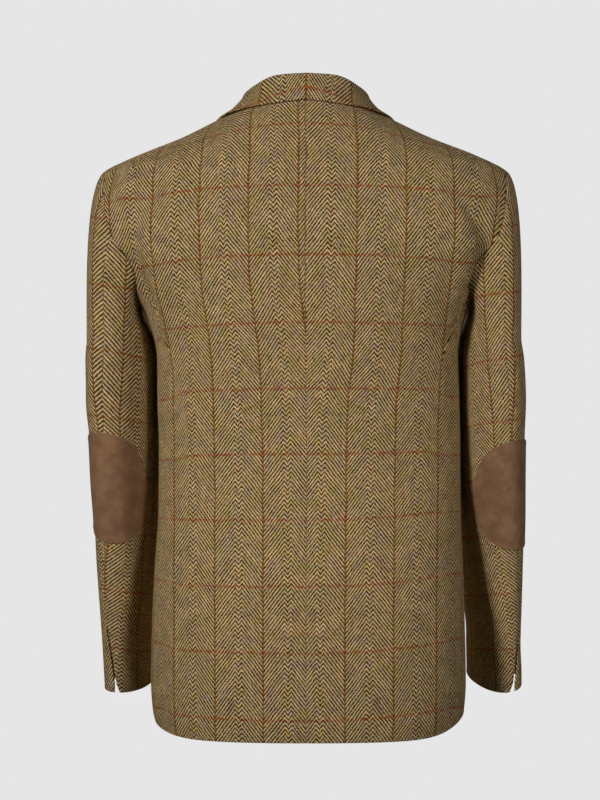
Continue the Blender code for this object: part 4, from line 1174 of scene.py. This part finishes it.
def collarFace(s, t):
    side = np.where(s < 0.5, -1, 1)
    degrees = np.abs(2 * s - 1) * collarTable["angle"][-1]
    angle = np.radians(degrees)
    stand, fall = collarSet["rows"][0][1:3]
    base = neckLine(angle) + collarSet["seat"]
    fold = smooth(collarTable, "fold", degrees)
    radius = collarSet["radius"]
    standing = offTorso(side, angle, lerp(base, fold, np.minimum(1, t / stand)), np.zeros(s.shape))
    bend = math.pi * np.clip((t - stand) / (fall - stand), 0, 1)
    over = offTorso(side, angle, fold + radius * np.sin(bend), radius * (1 - np.cos(bend)))
    u = np.clip((t - fall) / (1 - fall), 0, 1)
    front = np.maximum(0.0, (degrees - gorgeSet["from"]) / (gorgeSet["to"] - gorgeSet["from"])) ** 2
    gorge = tent(u, gorgeSet["share"]) * front
    middle, edge = smooth(collarTable, "middleLift", degrees), smooth(collarTable, "edgeLift", degrees)
    lift = 2 * radius * (1 - u) * (1 - 2 * u) + 4 * middle * u * (1 - u) + edge * u * (2 * u - 1)
    edgeAngle = np.radians(smooth(collarTable, "edgeAngle", degrees))
    fallAngle = lerp(angle, edgeAngle, u) + gorgeSet["turn"] * gorge
    fallHeight = lerp(fold, smooth(collarTable, "edge", degrees), u) - gorgeSet["drop"] * gorge
    falling = offTorso(side, fallAngle, fallHeight, lift)
    return np.where((t <= stand)[..., None], standing, np.where((t <= fall)[..., None], over, falling))


def lapelFace(side):
    def face(s, t):
        fold = lapelSet["columns"][0][1]
        rollHeight = lerp(frontSet["breakHeight"], neckSet["rollHeight"], t)
        roll = frontEdge(rollHeight)
        grown = (rollHeight - lapelSet["growFrom"]) / (lapelSet["growTo"] - lapelSet["growFrom"])
        radius = lerp(lapelSet["radiusBreak"], lapelSet["radiusTop"], eased(grown))
        bend = math.pi * np.minimum(1, s / fold)
        bulge = radius * np.sin(bend) + lapelSet["clear"]
        turned = clothFront(side, frontAngle(roll - bulge, rollHeight), rollHeight,
                            radius * (1 - np.cos(bend)) - clothThickness / 2)
        u = np.maximum(0, (s - fold) / (1 - fold))
        edgeHeight = lerp(frontSet["breakHeight"], lapelSet["peakHeight"], t)
        edge = lerp(-frontSet["overlap"], lapelSet["peakAcross"], t) + lapelSet["belly"] * np.sin(math.pi * t)
        notch = lapelSet["notchDrop"] * tent(u, lapelSet["notchShare"]) * t**6
        height = lerp(rollHeight, edgeHeight, u) - notch
        high = 2 * radius - clothThickness / 2
        lift = lerp(high, np.minimum(lapelSet["edgeLift"], high), u)
        across = lerp(roll - lapelSet["clear"], edge, u)
        laid = clothFront(side, frontAngle(across, height), height, lift)
        return np.where((s <= fold)[..., None], turned, laid)

    return face


def collarGrain(across, up, height, points, normals, rows):
    # The cloth is turned round, so that the twill peaks at the centre back on a stripe and
    # falls away to both sides.
    row = int(collarSet["grainRow"] * (up.shape[1] - 1))
    away, carried = grainOutwards(points, normals, up)
    up = up - up[:, row:row + 1] + carried[:, row:row + 1]
    fallen = collarSet["grainFalls"] * np.minimum(np.abs(away) / collarSet["grainReach"], 1) ** 2
    return away, collarSet["grainPeak"] - fallen - up


clothPiece("collar", 1, collarFace, collarSet, collarGrain)
for name, side in sides.items():
    clothPiece("lapel_" + name, side, lapelFace(side), lapelSet, shifted(lapelSet["shift"]))
print("collar and lapels ready")


# pocket flaps

flapSet = {
    "frontAngle": math.radians(146), "backAngle": math.radians(113),
    "frontHeight": 0.292, "backHeight": 0.262, "depth": 0.055, "length": 0.150, "corner": 0.012,
    "offsets": (-0.0029, -0.0009), "rows": ((0, 1), (18,)), "edges": ("free",) * 4,
    "flat": (0.12, 0.055), "area": 0.0055, "shift": 0.020,
}


def flapFace(side):
    def face(s, t):
        angle = lerp(flapSet["frontAngle"], flapSet["backAngle"], s)
        top = lerp(flapSet["frontHeight"], flapSet["backHeight"], s)
        roundOff = np.maximum(0.0, 1 - np.minimum(s, 1 - s) * flapSet["length"] / flapSet["corner"])
        depth = flapSet["depth"] - flapSet["corner"] * (1 - np.sqrt(np.maximum(0, 1 - roundOff**2)))
        return clothFront(side, angle, top - depth * t)

    return face


for name, side in sides.items():
    clothPiece("pocket_flap_" + name, side, flapFace(side), flapSet, shifted(flapSet["shift"]))
print("pocket flaps ready")


# buttons keep their solids

for button in bpy.data.objects:
    if button.name in ("front_button_upper", "front_button_lower"):
        button.material_slots[0].material = materials["horn"]
print("buttons ready")


# light, floor and backdrop

lightSet = {
    "backdrop": paint(230, 230, 230), "room": 0.03, "spread": math.radians(45), "colour": (1.0, 0.99, 0.97),
    "aim": (0.0, 0.0, -0.35), "floor": (0.35, 0.35, 0.35, 1), "floorHeight": -1.60, "floorRadius": 4.3,
    "floorGlow": 0.9,
}
lamps = {
    "key": {"place": (2.1, 2.8, 0.7), "size": 0.9, "power": 6.0},
    "fill": {"place": (-2.1, 2.8, 0.5), "size": 0.9, "power": 2.7},
    "front": {"place": (0.3, -3.4, 1.4), "size": 1.4, "power": 12.0},
}


def makeWorld():
    # the backdrop as the camera sees it, and a dimmer room that lights the cloth
    world = bpy.data.worlds.new("studio")
    bpy.context.scene.world = world
    world.use_nodes = True
    tree = world.node_tree
    backdrop = tree.nodes["Background"]
    wire(tree, backdrop, {"Color": lightSet["backdrop"], "Strength": 1.0})
    room = addNode(tree, "Background", {"Color": lightSet["backdrop"], "Strength": lightSet["room"]})[0]
    seen = addNode(tree, "LightPath", {})["Is Camera Ray"]
    choice = addNode(tree, "MixShader", {"Fac": seen, 1: room, 2: backdrop.outputs[0]})[0]
    wire(tree, tree.nodes["World Output"], {"Surface": choice})


def makeLamp(name, place, size, power):
    data = bpy.data.lights.new(name, "AREA")
    data.shape = "DISK"
    data.size = size
    data.spread = lightSet["spread"]
    data.energy = power
    data.color = lightSet["colour"]
    lamp = bpy.data.objects.new(name, data)
    lamp.location = place
    aim = np.array(lightSet["aim"]) - np.array(place)
    flat = math.hypot(aim[0], aim[1])
    lamp.rotation_euler = (math.atan2(flat, -aim[2]), 0, math.atan2(-aim[0], aim[1]))
    bpy.context.scene.collection.objects.link(lamp)


def makeFloor():
    bm = bmesh.new()
    bmesh.ops.create_circle(bm, cap_ends=True, segments=96, radius=lightSet["floorRadius"])
    bmesh.ops.translate(bm, vec=(0, 0, lightSet["floorHeight"]), verts=bm.verts[:])
    mesh = meshOf(bm, "floor")
    floor = bpy.data.objects.new("floor", mesh)
    bpy.context.scene.collection.objects.link(floor)
    material, tree, shader = newMaterial("floor")
    glow = times(tree, addNode(tree, "LightPath", {})["Is Camera Ray"], lightSet["floorGlow"])
    wire(tree, shader, {
        "Base Color": lightSet["floor"], "Roughness": 1.0, "Specular IOR Level": 0.0,
        "Emission Color": lightSet["backdrop"], "Emission Strength": glow,
    })
    mesh.materials.append(material)


makeWorld()
for name, lamp in lamps.items():
    makeLamp(name, **lamp)
makeFloor()
bpy.context.scene.view_settings.view_transform = "Standard"
print("light ready")
